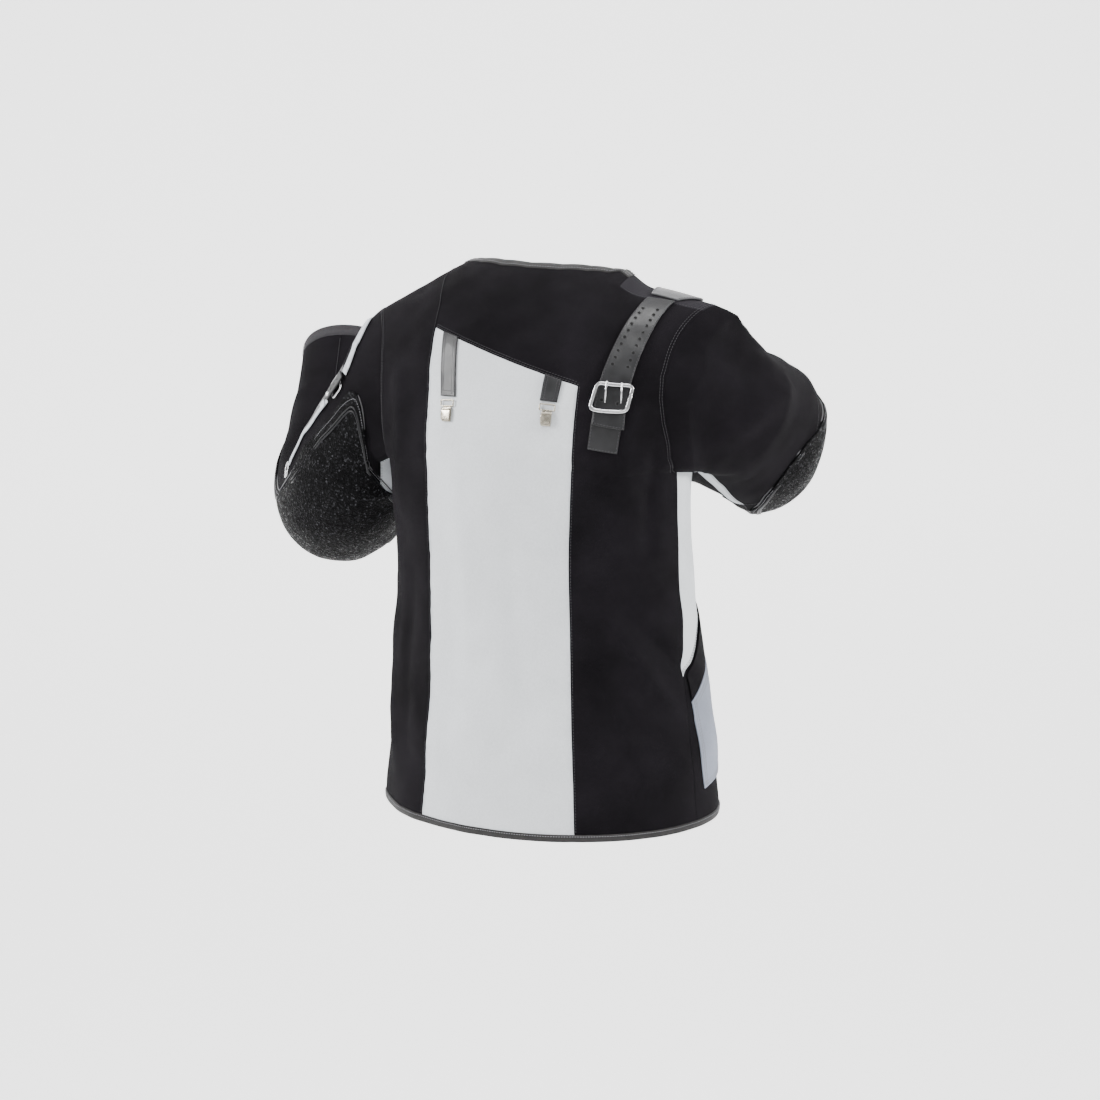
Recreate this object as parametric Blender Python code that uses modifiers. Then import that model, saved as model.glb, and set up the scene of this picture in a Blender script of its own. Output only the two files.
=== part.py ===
"""A sleeved target shooting jacket, filled out as if worn, with no wearer.

Metres, +Z up. The origin is between the shoulders, where the wearer carries the jacket.
The wearer faces -Y, so the back is at +Y and the wearer's left side is at +X.
"""
import math

import bmesh
import bpy
import numpy as np
from mathutils import Matrix, Vector

# Cloth and seams
CLOTH = 0.0022
BINDING = 0.0028
LEATHER = 0.0024
RUBBER = 0.0030
SEAM_GAP = 0.0003

# Torso: levels of the trunk
CHEST_Z = -0.240
HEM_Z = -0.667
HEM_DIP = 0.008
NECK_HALF_WIDTH = 0.098
NECK_BAND = 0.0030
NECK_BACK_DROP = 0.205
NECK_FRONT_DROP = 0.60
YOKE_ROW = 1.38
LOWER_FRONT_ROW = 0.425
HEM_ROW = 0.02

# Sections of the trunk, from the hem up: height, half width, half depth, middle's place in Y, side seam angle
TRUNK = (
    (-0.678, 0.2145, 0.1540, 0.000, 78.0),
    (-0.640, 0.2120, 0.1520, 0.000, 77.0),
    (-0.580, 0.2065, 0.1480, 0.002, 76.5),
    (-0.520, 0.2000, 0.1430, 0.006, 77.0),
    (-0.460, 0.1935, 0.1385, 0.010, 79.5),
    (-0.400, 0.1880, 0.1350, 0.015, 81.5),
    (-0.340, 0.1870, 0.1335, 0.021, 81.5),
    (-0.290, 0.1885, 0.1305, 0.027, 81.0),
    (-0.240, 0.1900, 0.1280, 0.031, 80.0),
)

# Edge of the armhole above the chest: level, distance from the middle plane, angle from the half's middle
ARMHOLE_BACK = (
    (1.00, 0.1871, 80.0),
    (1.015, 0.1872, 75.0),
    (1.06, 0.1876, 71.0),
    (1.12, 0.1880, 68.5),
    (1.22, 0.1850, 62.5),
    (1.33, 0.1840, 58.0),
    (1.60, 0.1950, 57.0),
    (1.80, 0.2100, 58.0),
    (2.00, 0.2220, 58.0),
)
ARMHOLE_FRONT = (
    (1.00, 0.1871, 100.0),
    (1.015, 0.1872, 94.5),
    (1.06, 0.1866, 86.0),
    (1.12, 0.1850, 77.0),
    (1.22, 0.1800, 66.0),
    (1.33, 0.1780, 60.0),
    (1.60, 0.1900, 58.0),
    (1.80, 0.2070, 58.0),
    (2.00, 0.2220, 58.0),
)

# Ridge of the shoulders: place across, height, place in Y
RIDGE = (
    (-0.222, -0.050, 0.0175),
    (-0.160, -0.0365, 0.0090),
    (-0.126, -0.0285, 0.0040),
    (-0.098, -0.011, 0.0000),
    (0.000, 0.010, 0.0000),
    (0.098, -0.001, 0.0000),
    (0.160, -0.033, 0.0090),
    (0.226, -0.068, 0.0175),
)

# Upright seams and grid lines of the back: level and place across at that level
LEFT_SEAM = ((0.0, 0.110), (0.40, 0.098), (0.75, 0.0935), (1.0, 0.0930),
             (1.3, 0.0965), (1.5, 0.100), (1.75, 0.114), (2.0, 0.119))
RIGHT_SEAM = ((0.0, -0.0955), (0.40, -0.089), (0.75, -0.088), (1.0, -0.093),
              (1.29, -0.0954), (1.6, -0.096), (2.0, -0.098))
NECK_LEFT_OUTER = ((0.0, 0.078), (1.0, 0.076), (1.5, 0.092), (1.8, 0.107), (2.0, 0.1085))
NECK_LEFT = ((0.0, 0.052), (1.0, 0.050), (1.5, 0.075), (1.8, 0.093), (2.0, 0.098))
NECK_RIGHT_OUTER = ((0.0, -0.120), (1.0, -0.114), (1.5, -0.112), (1.8, -0.110), (2.0, -0.1085))

# Top edge of the white back panel, from the left seam to the right seam
PANEL_TOP_LEFT_Z = -0.078
PANEL_TOP_RIGHT_Z = -0.138

# Top edge of the dark lower fronts: angle from the front's middle and level
LOWER_FRONT_EDGE = ((0.0, 0.66), (45.0, 0.64), (72.0, 0.57), (86.5, 0.495), (100.0, 0.425))

ROWS = (0.0, HEM_ROW, 0.11, 0.195, 0.31, 0.425, 0.50, 0.59, 0.68, 0.79, 0.90,
        1.0, 1.015, 1.06, 1.12, 1.20, 1.29, 1.38, 1.50, 1.62, 1.73, 1.83, 1.94, 2.0)
LEFT_PANEL_COLUMNS = 6
NECK_COLUMNS = 8
SIDE_COLUMNS = 7

# Sleeves: a straight upper arm, a round bend and a straight forearm
SLEEVE_BEND = 0.066
LEFT_ELBOW_CORNER = (0.332, -0.046, -0.351)
LEFT_CUFF = (0.393, -0.202, -0.133)
RIGHT_ELBOW_CORNER = (-0.239, -0.171, -0.2355)
RIGHT_CUFF = (-0.100, -0.235, -0.2265)
SLEEVE_ROUND_FROM = 0.27
SLEEVE_PUFF = 0.018
SLEEVE_PUFF_BY = 0.05
SHALLOWEST_LEAVING = 0.2
SLEEVE_STATIONS = (0.0, 0.05, 0.11, 0.18, 0.25, 0.31, 0.36, 0.41, 0.46,
                   0.51, 0.56, 0.61, 0.67, 0.74, 0.82, 0.90, 0.965, 1.0)
ELBOW_STATION = 9
CUFF_STATION = 16
# Pull-back of a piece's edges where its seam runs over a tight curve
TIGHT_EDGE = 0.00040
SLEEVE_EDGE = 0.0009
ARMHOLE_REACH = 0.13
PATCH_STAND_LEFT = 0.0022
PATCH_STAND_RIGHT = 0.0010
# What a piece stands off more, over the flats of the wall under it
SAG = 0.0004
# Sections of the sleeves: way along, size to the elbow's outside, size to its inside, half size across
LEFT_SLEEVE_SECTIONS = (
    (0.00, 0.078, 0.078, 0.076),
    (0.20, 0.082, 0.070, 0.077),
    (0.40, 0.088, 0.054, 0.080),
    (0.60, 0.086, 0.052, 0.077),
    (0.80, 0.068, 0.060, 0.066),
    (1.00, 0.060, 0.060, 0.060),
)
RIGHT_SLEEVE_SECTIONS = (
    (0.00, 0.078, 0.078, 0.076),
    (0.20, 0.080, 0.0685, 0.0785),
    (0.40, 0.068, 0.052, 0.088),
    (0.60, 0.063, 0.053, 0.087),
    (0.80, 0.065, 0.058, 0.070),
    (1.00, 0.060, 0.060, 0.060),
)

# Pocket on the wearer's right front: angle from the front's middle, lower level, upper level
POCKET = (
    (50.0, 0.122, 0.520),
    (63.0, 0.118, 0.478),
    (76.5, 0.114, 0.425),
    (88.0, 0.108, 0.390),
    (99.5, 0.100, 0.352),
)
POCKET_REAR_LEAN = 3.5
POCKET_CLOTH = 0.0018
WELT_STEP = 0.006

# Leather pieces on the back, as pairs of edges: place across and level, from the top down
SHOULDER_STRAP_BACK = (((-0.1464, 1.812), (-0.1190, 1.335), (-0.1145, 1.175)),
                       ((-0.1779, 1.835), (-0.1510, 1.325), (-0.1460, 1.165)))
STRAP_ANCHOR = (((-0.1180, 1.310), (-0.1106, 1.090)), ((-0.1495, 1.300), (-0.1400, 1.080)))
TAB_LEFT = (((0.0820, 1.447), (0.0735, 1.225)), ((0.0600, 1.420), (0.0525, 1.222)))
TAB_RIGHT = (((-0.0575, 1.312), (-0.0550, 1.226)), ((-0.0780, 1.300), (-0.0750, 1.226)))
# Leather over the right shoulder, from its back edge to its front edge: half, outer place, inner place, level
OVER_SHOULDER = (
    (1, -0.1462, -0.1800, 1.862),
    (1, -0.1440, -0.1890, 1.930),
    (1, -0.1415, -0.1990, 2.000),
    (-1, -0.1400, -0.1990, 1.930),
    (-1, -0.1380, -0.1930, 1.840),
    (-1, -0.1360, -0.1800, 1.720),
    (-1, -0.1340, -0.1700, 1.600),
)

# Buckle of the shoulder strap
BUCKLE_MIDDLE = (-0.1325, 1.277)
BUCKLE_HALF_WIDTH = 0.0185
BUCKLE_HALF_LEVEL = 0.050
BUCKLE_WIRE = 0.0019
PRONG_WIRE = 0.0012
PRONG_SPREAD = 0.0080
PRONG_LEVELS = 0.076
BUCKLE_SLANT = 0.25
BUCKLE_LEAN = 0.0030
BUCKLE_SQUARENESS = 0.28

# Clips that hang from the two tabs: place across and level of the clip's middle
CLIP_LEFT = (0.0625, 1.168)
CLIP_RIGHT = (-0.0642, 1.172)
CLIP_WIDTH = 0.0120
CLIP_HEIGHT = 0.0170
CLIP_PLATE = 0.0016
LOOP_WIDTH = 0.0180
LOOP_HEIGHT = 0.0070
LOOP_WIRE = 0.0008
PIN_RADIUS = 0.0012
PIN_STAND = 0.00195
LEVER_WIDTH = 0.0130
LEVER_HEIGHT = 0.0125
LEVER_PLATE = 0.0010
LEVER_START = 0.0015
LEVER_ROUND = 0.0003
CLIP_ROUND = 0.0004
LOOP_LIFT = 0.0004

# Front closure
PLACKET_HALF_WIDTH = 0.018
BUTTON_LEVELS = (0.14, 0.39, 0.64, 0.89, 1.14)
BUTTON_RADIUS = 0.0100
BUTTON_THICKNESS = 0.0035

# Rubber patch of each sleeve: turn from the elbow's outside, way where it starts, way where it ends
PATCH_LEFT = ((-78.0, 0.090, 0.600), (-70.0, 0.064, 0.660), (-60.0, 0.054, 0.720), (-40.0, 0.056, 0.760),
              (-10.0, 0.120, 0.780), (20.0, 0.250, 0.770), (50.0, 0.330, 0.740), (60.0, 0.370, 0.680))
PATCH_RIGHT = ((-80.0, 0.545, 0.80), (-55.0, 0.480, 0.84), (-26.0, 0.447, 0.86), (8.0, 0.490, 0.86),
               (39.0, 0.545, 0.84), (62.0, 0.590, 0.80))

# Sling strap of the left sleeve: way along the sleeve and turn round it
SLING_UPPER = ((0.020, -128.0), (0.045, -104.0), (0.070, -94.0), (0.095, -91.0))
SLING_LOWER = ((0.168, -91.0), (0.220, -92.0), (0.300, -93.0), (0.375, -91.0))
SLING_UPPER_WIDTH = 0.014
SLING_LOWER_WIDTH = 0.008
SLING_WEB = 0.0014
SLING_RING = (0.130, -91.0)
SLING_RING_SIZE = (0.0130, 0.0100)
SLING_WIRE = 0.0013
SLING_STAND = 0.0010
RING_SINK = 0.0003
SLING_HOOK = (0.402, -90.0)
SLING_HOOK_SIZE = (0.0090, 0.0070)

BLACK = (0.018, 0.016, 0.020)
WHITE = (0.66, 0.68, 0.70)
GREY = (0.22, 0.24, 0.28)


def clear_scene():
    """Removes the objects of the start-up scene."""
    for item in list(bpy.data.objects):
        bpy.data.objects.remove(item, do_unlink=True)


def column(table, index):
    """Returns one column of a table of rows as an array."""
    return np.array([row[index] for row in table], float)


def smooth_between(value, xs, ys):
    """Reads a smooth curve through the points (xs, ys), with the slopes of a Catmull-Rom curve."""
    xs = np.asarray(xs, float)
    ys = np.asarray(ys, float)
    value = np.clip(np.asarray(value, float), xs[0], xs[-1])
    slopes = np.gradient(ys, xs)
    place = np.clip(np.searchsorted(xs, value, side="right") - 1, 0, len(xs) - 2)
    step = xs[place + 1] - xs[place]
    t = (value - xs[place]) / step
    rise = ys[place] * (1 + 2 * t) * (1 - t) ** 2 + ys[place + 1] * t * t * (3 - 2 * t)
    lean = slopes[place] * t * (1 - t) ** 2 - slopes[place + 1] * t * t * (1 - t)
    return rise + step * lean


def ridge_at(x):
    """Returns height and Y of the shoulder ridge at a place across."""
    return (smooth_between(x, column(RIDGE, 0), column(RIDGE, 1)),
            smooth_between(x, column(RIDGE, 0), column(RIDGE, 2)))


def half_width_at(level, edge):
    """Returns a section's half width, from the trunk's table below the chest and an armhole edge above."""
    z = HEM_Z - HEM_DIP + (CHEST_Z - HEM_Z + HEM_DIP) * np.clip(level, 0, 1)
    low = smooth_between(z, column(TRUNK, 0), column(TRUNK, 1))
    x = smooth_between(level, column(edge, 0), column(edge, 1))
    angle = np.radians(smooth_between(level, column(edge, 0), column(edge, 2)))
    return np.where(np.asarray(level) > 1, x / np.sin(angle), low)


def edge_angle(level, edge):
    """Returns the angle, from the half's middle, of its side seam or armhole edge at a level."""
    z = HEM_Z - HEM_DIP + (CHEST_Z - HEM_Z + HEM_DIP) * np.clip(level, 0, 1)
    seam = smooth_between(z, column(TRUNK, 0), column(TRUNK, 4))
    if edge is ARMHOLE_FRONT:
        seam = 180 - seam
    above = smooth_between(level, column(edge, 0), column(edge, 2))
    return np.where(np.asarray(level) > 1, above, seam)


def trunk_point(facing, angle, level):
    """Returns points of the trunk's middle surface.

    facing is 1 for the back and -1 for the front. angle is in degrees from that half's middle, positive
    towards the wearer's right. level is 0 at the hem, 1 at the chest and 2 on the shoulder ridge. Each
    section is half an ellipse, and above the chest each upright line is a quarter of an ellipse.
    """
    angle = np.radians(np.asarray(angle, float))
    level = np.asarray(level, float)
    edge = ARMHOLE_BACK if facing > 0 else ARMHOLE_FRONT
    low = np.clip(level, 0, 1)
    turn = np.radians(90 * np.clip(level - 1, 0, 1))
    z_mean = HEM_Z - HEM_DIP + (CHEST_Z - HEM_Z + HEM_DIP) * low
    depth = smooth_between(z_mean, column(TRUNK, 0), column(TRUNK, 2))
    middle = smooth_between(z_mean, column(TRUNK, 0), column(TRUNK, 3))
    x = -half_width_at(level, edge) * np.sin(angle)
    along = facing * depth * np.cos(angle)
    ridge_z, ridge_y = ridge_at(x)
    y = (middle + along) * np.cos(turn) + ridge_y * (1 - np.cos(turn))
    hem = HEM_Z - HEM_DIP * facing * np.cos(angle)
    z = hem + (CHEST_Z - hem) * low + (ridge_z - CHEST_Z) * np.sin(turn)
    return np.stack([x, y, z], axis=-1)


def angle_of(facing, x, level):
    """Returns the angle of the place at a distance across, at a level."""
    edge = ARMHOLE_BACK if facing > 0 else ARMHOLE_FRONT
    return -np.degrees(np.arcsin(np.clip(np.asarray(x) / half_width_at(level, edge), -1, 1)))


def point_at(facing, x, z):
    """Returns the trunk's point at a distance across and a height, on the back or the front."""
    x = np.asarray(x, float)
    z = np.asarray(z, float)
    ridge_z, _ = ridge_at(x)
    turn = np.degrees(np.arcsin(np.clip((z - CHEST_Z) / (ridge_z - CHEST_Z), 0, 1)))
    level = np.where(z > CHEST_Z, 1 + turn / 90, (z - HEM_Z + HEM_DIP) / (CHEST_Z - HEM_Z + HEM_DIP))
    for _ in range(3):
        angle = angle_of(facing, x, level)
        hem = HEM_Z - HEM_DIP * facing * np.cos(np.radians(angle))
        level = np.where(z > CHEST_Z, level, (z - hem) / (CHEST_Z - hem))
    return trunk_point(facing, angle, level)


def spread(start, end, count):
    """Returns the fractions from start to end, without the last, as rows for a grid's columns."""
    steps = np.arange(count) / count
    return start[:, None] * (1 - steps) + end[:, None] * steps


def line_at(table, level):
    """Reads a seam's or grid line's place across at each level."""
    return smooth_between(level, column(table, 0), column(table, 1))


def column_levels(top, edge, lower):
    """Returns every row's level in each column, so that chosen rows follow the neck, yoke and lower edges."""
    rows = np.array(ROWS)
    return np.stack([np.interp(rows, (0, HEM_ROW, LOWER_FRONT_ROW, 1, YOKE_ROW, 2), (0, HEM_ROW, lo, 1, ed, to))
                     for to, ed, lo in zip(top, edge, lower)], axis=1)


def neck_levels(drop):
    """Returns the top level of each column: 2 on the shoulders, and lower round the neck."""
    neck = 2 - drop * np.sin(np.pi * np.arange(NECK_COLUMNS + 1) / NECK_COLUMNS)
    shoulder = np.full(SIDE_COLUMNS + 1, 2.0)
    return np.concatenate([shoulder, neck, shoulder])


def neck_half_width(rows):
    """Returns half the neck's width at each row: the opening's at the top, the binding's edge below."""
    return NECK_HALF_WIDTH + np.where(np.asarray(rows) < 2, NECK_BAND, 0.0)


def neck_places(level, left, right):
    """Returns the places across of the neck's columns, evenly spaced low down and round at the top."""
    steps = np.arange(NECK_COLUMNS) / NECK_COLUMNS
    low = left[:, None] * (1 - steps) + right[:, None] * steps
    high = neck_half_width(level)[:, None] * np.cos(np.pi * steps)
    share = np.clip((np.array(ROWS)[:, None] - 1.2) / 0.8, 0, 1) ** 1.5
    return low * (1 - share) + high * share


def back_grid():
    """Returns the grid of the back's points, rows from the hem up and columns from the wearer's left."""
    rows = np.array(ROWS)
    left = line_at(LEFT_SEAM, rows)
    right = line_at(RIGHT_SEAM, rows)
    places = neck_places(rows, line_at(NECK_LEFT, rows), right)
    top = neck_levels(NECK_BACK_DROP)
    count = len(top)
    edge = np.full(count, YOKE_ROW)
    corner_left = LEFT_PANEL_COLUMNS
    corner_right = count - 1 - SIDE_COLUMNS - 1
    yoke = ROWS.index(YOKE_ROW)
    x_row = np.concatenate([[left[yoke]], [line_at(NECK_LEFT_OUTER, YOKE_ROW)], places[yoke], [right[yoke]]])
    z_row = np.interp(-x_row, (-x_row[0], -x_row[-1]), (PANEL_TOP_LEFT_Z, PANEL_TOP_RIGHT_Z))
    ridge_z, _ = ridge_at(x_row)
    edge[corner_left:corner_right + 1] = 1 + np.degrees(np.arcsin((z_row - CHEST_Z) / (ridge_z - CHEST_Z))) / 90
    edge[:corner_left] = np.linspace(YOKE_ROW, edge[corner_left], corner_left + 1)[:-1]
    edge[corner_right + 1:] = np.linspace(edge[corner_right], YOKE_ROW, count - corner_right)[1:]
    levels = column_levels(top, edge, np.full(count, LOWER_FRONT_ROW))
    side = edge_angle(rows, ARMHOLE_BACK)
    angles = np.empty_like(levels)
    angles[:, :corner_left] = spread(-side, angle_of(1, left, levels[:, corner_left]), corner_left)
    angles[:, corner_left] = angle_of(1, left, levels[:, corner_left])
    angles[:, corner_left + 1] = angle_of(1, line_at(NECK_LEFT_OUTER, rows), levels[:, corner_left + 1])
    for step in range(NECK_COLUMNS):
        angles[:, corner_left + 2 + step] = angle_of(1, places[:, step], levels[:, corner_left + 2 + step])
    angles[:, corner_right] = angle_of(1, right, levels[:, corner_right])
    outer = angle_of(1, line_at(NECK_RIGHT_OUTER, rows), levels[:, corner_right + 1])
    angles[:, corner_right + 1:-1] = spread(outer, side, SIDE_COLUMNS)
    angles[:, -1] = side
    return trunk_point(1, angles, levels), angles


def front_grid(shoulder_angles):
    """Returns the grid of the front's points. On the ridge its columns meet the back's."""
    rows = np.array(ROWS)
    top = neck_levels(NECK_FRONT_DROP)
    count = len(top)
    side = edge_angle(rows, ARMHOLE_FRONT)
    share = np.clip((rows - 1.1) / 0.9, 0, 1)[:, None]
    low_edge = np.concatenate([spread(-side, -side * 0.45, SIDE_COLUMNS),
                               spread(-side * 0.45, -side * 0.38, 1),
                               spread(-side * 0.38, side * 0.38, NECK_COLUMNS),
                               spread(side * 0.38, side * 0.45, 1),
                               spread(side * 0.45, side, SIDE_COLUMNS),
                               side[:, None]], axis=1)
    lower = smooth_between(np.abs(low_edge[5]), column(LOWER_FRONT_EDGE, 0), column(LOWER_FRONT_EDGE, 1))
    edge = 1 + (YOKE_ROW - 1) * (top - 1)
    levels = column_levels(top, edge, lower)
    high = np.broadcast_to(shoulder_angles, low_edge.shape).copy()
    first = SIDE_COLUMNS + 1
    for step in range(NECK_COLUMNS + 1):
        place = neck_half_width(rows) * math.cos(math.pi * step / NECK_COLUMNS)
        high[:, first + step] = angle_of(-1, place, levels[:, first + step])
    sides = np.concatenate([np.arange(0, first), np.arange(first + NECK_COLUMNS + 1, count)])
    for place in sides:
        towards_side = np.abs(low_edge[:, place]) / side
        high[:, place] = np.sign(low_edge[:, place]) * np.abs(shoulder_angles[place]) \
            * (1 - towards_side + towards_side * side / side[-1])
    angles = low_edge * (1 - share) + high * share
    angles[:, 0] = -side
    angles[:, -1] = side
    return trunk_point(-1, angles, levels)


def material(name, colour, roughness, metallic=0.0):
    """Returns a Principled material."""
    finish = bpy.data.materials.new(name)
    finish.use_nodes = True
    shader = finish.node_tree.nodes["Principled BSDF"]
    shader.inputs["Base Color"].default_value = (*colour, 1)
    shader.inputs["Roughness"].default_value = roughness
    shader.inputs["Metallic"].default_value = metallic
    finish.diffuse_color = (*colour, 1)
    return finish


def keep_object(name, mesh, finish):
    """Adds a mesh as an object of the jacket's collection."""
    item = bpy.data.objects.new(name, mesh)
    mesh.materials.append(finish)
    JACKET.objects.link(item)
    return item


def pull_back_edges(shape, distance):
    """Moves the open edges of a surface inwards by a distance, or by what a function gives at each point."""
    moves = {}
    for edge in shape.edges:
        if len(edge.link_faces) != 1:
            continue
        face = edge.link_faces[0]
        run = (edge.verts[1].co - edge.verts[0].co).normalized()
        inward = face.normal.cross(run)
        if inward.dot(face.calc_center_median() - edge.verts[0].co) < 0:
            inward.negate()
        for vertex in edge.verts:
            moves.setdefault(vertex, []).append(inward)
    for vertex, sides in moves.items():
        if len(sides) == 2:
            reach = distance(vertex.co) if callable(distance) else distance
            vertex.co += reach * (sides[0] + sides[1]) / (1 + sides[0].dot(sides[1]))


def wall(name, patches, finish, thickness=CLOTH, gap=SEAM_GAP / 2):
    """Makes a wall of even thickness from grids of points.

    patches is a list of (grid, cells): cells is None for all of a grid, or marks the cells that the
    piece has. Grids that meet are joined where their points are the same.
    """
    shape = bmesh.new()
    for grid, cells in patches:
        rows, columns = grid.shape[:2]
        if cells is None:
            cells = np.ones((rows - 1, columns - 1), bool)
        points = {}
        for row, place in zip(*np.nonzero(cells)):
            corners = []
            for key in ((row, place), (row, place + 1), (row + 1, place + 1), (row + 1, place)):
                if key not in points:
                    points[key] = shape.verts.new(grid[key])
                corners.append(points[key])
            shape.faces.new(corners)
    bmesh.ops.remove_doubles(shape, verts=shape.verts, dist=0.00001)
    bmesh.ops.recalc_face_normals(shape, faces=shape.faces)
    shape.normal_update()
    pull_back_edges(shape, gap)
    mesh = bpy.data.meshes.new(name)
    shape.to_mesh(mesh)
    shape.free()
    mesh.shade_smooth()
    item = keep_object(name, mesh, finish)
    thicken = item.modifiers.new("Wall", "SOLIDIFY")
    thicken.thickness = thickness
    thicken.offset = 0.0
    return item


def moved_out(grid, distance, inside):
    """Moves a grid's points out along its own normals, away from the point called inside."""
    normal = np.cross(np.gradient(grid, axis=0), np.gradient(grid, axis=1))
    normal /= np.linalg.norm(normal, axis=-1, keepdims=True)
    away = np.sum(normal * (grid - np.asarray(inside)), axis=-1)
    normal *= np.where(np.sum(away) < 0, -1.0, 1.0)
    return grid + normal * np.asarray(distance)[..., None]


def cells_of(grid, rows, columns):
    """Marks the cells of a grid between two rows and two columns."""
    marked = np.zeros((grid.shape[0] - 1, grid.shape[1] - 1), bool)
    marked[rows[0]:rows[1], columns[0]:columns[1]] = True
    return marked


def make_trunk(black, white, grey_black, binding):
    """Makes the back, the fronts, the shoulders and the bindings.

    Returns both armholes' edges and the points beside them.
    """
    back, angles = back_grid()
    front = front_grid(angles[-1])
    row_count, count = back.shape[:2]
    top = row_count - 1
    seam = top - 2
    band = top - 1
    left = LEFT_PANEL_COLUMNS
    neck_left = SIDE_COLUMNS
    right = count - 1 - SIDE_COLUMNS - 1
    neck_right = right + 1
    yoke = ROWS.index(YOKE_ROW)
    wall("back_left", [(back, cells_of(back, (1, seam), (0, left)))], black)
    wall("back_center", [(back, cells_of(back, (1, yoke), (left, right)))], white)
    yoke_cells = cells_of(back, (yoke, band), (left, right)) | cells_of(back, (1, seam), (right, count - 1))
    yoke_cells |= cells_of(back, (seam, band), (right, neck_right))
    yoke_cells[seam:top, left:neck_left] = False
    yoke_cells[seam:band, neck_left:neck_left + 1] = True
    wall("back_right_yoke", [(back, yoke_cells)], black)
    front_seam = ROWS.index(1.73)
    for side, inner, outer in (("left", (left, neck_left), (0, left)),
                               ("right", (neck_right, neck_right), (neck_right, count - 1))):
        lo, hi = min(inner[0], outer[0]), max(inner[1], outer[1])
        wall("shoulder_" + side, [(back, cells_of(back, (seam, top), (lo, hi))),
                                  (front, cells_of(front, (front_seam, top), (lo, hi)))], grey_black, gap=TIGHT_EDGE)
    middle = SIDE_COLUMNS + 1 + NECK_COLUMNS // 2
    lower = ROWS.index(LOWER_FRONT_ROW)
    for side, lo, hi, far in (("left", 0, middle, neck_left), ("right", middle, count - 1, neck_right)):
        cells = cells_of(front, (lower, front_seam), (lo, hi))
        inner = (far, middle) if side == "left" else (middle, far)
        cells |= cells_of(front, (front_seam, band), inner)
        wall("front_" + side, [(front, cells)], white, gap=TIGHT_EDGE)
        wall("front_lower_" + side, [(front, cells_of(front, (1, lower), (lo, hi)))], black)
    ring = cells_of(back, (band, top), (neck_left, neck_right))
    wall("neck_binding", [(back, ring), (front, ring)], binding, BINDING, TIGHT_EDGE)
    hem = cells_of(back, (0, 1), (0, count - 1))
    wall("hem_binding", [(back, hem), (front, hem)], binding, BINDING)
    first = ROWS.index(1.0)
    armholes = []
    for place in (0, count - 1):
        beside = place + 1 if place == 0 else place - 1
        armholes.append((np.concatenate([back[first:, place][::-1], front[first + 1:-1, place]]),
                         np.concatenate([back[first:, beside][::-1], front[first + 1:-1, beside]])))
    return armholes


def bent_path(start, corner, end, radius, way):
    """Returns centres, tangents and bend frames along a straight, a round bend and a straight.

    way runs from 0 to 1 by length. outward points to the elbow's outside and across is square to the bend.
    """
    start, corner, end = (np.asarray(point, float) for point in (start, corner, end))
    first = (corner - start) / np.linalg.norm(corner - start)
    last = (end - corner) / np.linalg.norm(end - corner)
    turn = math.acos(float(first @ last))
    reach = radius * math.tan(turn / 2)
    across = np.cross(first, last)
    across /= np.linalg.norm(across)
    inward = np.cross(across, first)
    lengths = np.array([np.linalg.norm(corner - start) - reach, radius * turn,
                        np.linalg.norm(end - corner) - reach])
    total = lengths.sum()
    distance = np.asarray(way, float) * total
    bend = np.clip((distance - lengths[0]) / radius, 0, turn)[..., None]
    before = np.minimum(distance, lengths[0])[..., None]
    after = np.maximum(distance - lengths[0] - lengths[1], 0)[..., None]
    middle = start + first * lengths[0] + inward * radius
    on_bend = middle - inward * radius * np.cos(bend) + first * radius * np.sin(bend)
    centre = on_bend - first * (lengths[0] - before) + last * after
    tangent = first * np.cos(bend) + inward * np.sin(bend)
    outward = -inward * np.cos(bend) + first * np.sin(bend)
    return centre, tangent, outward, across


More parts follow.
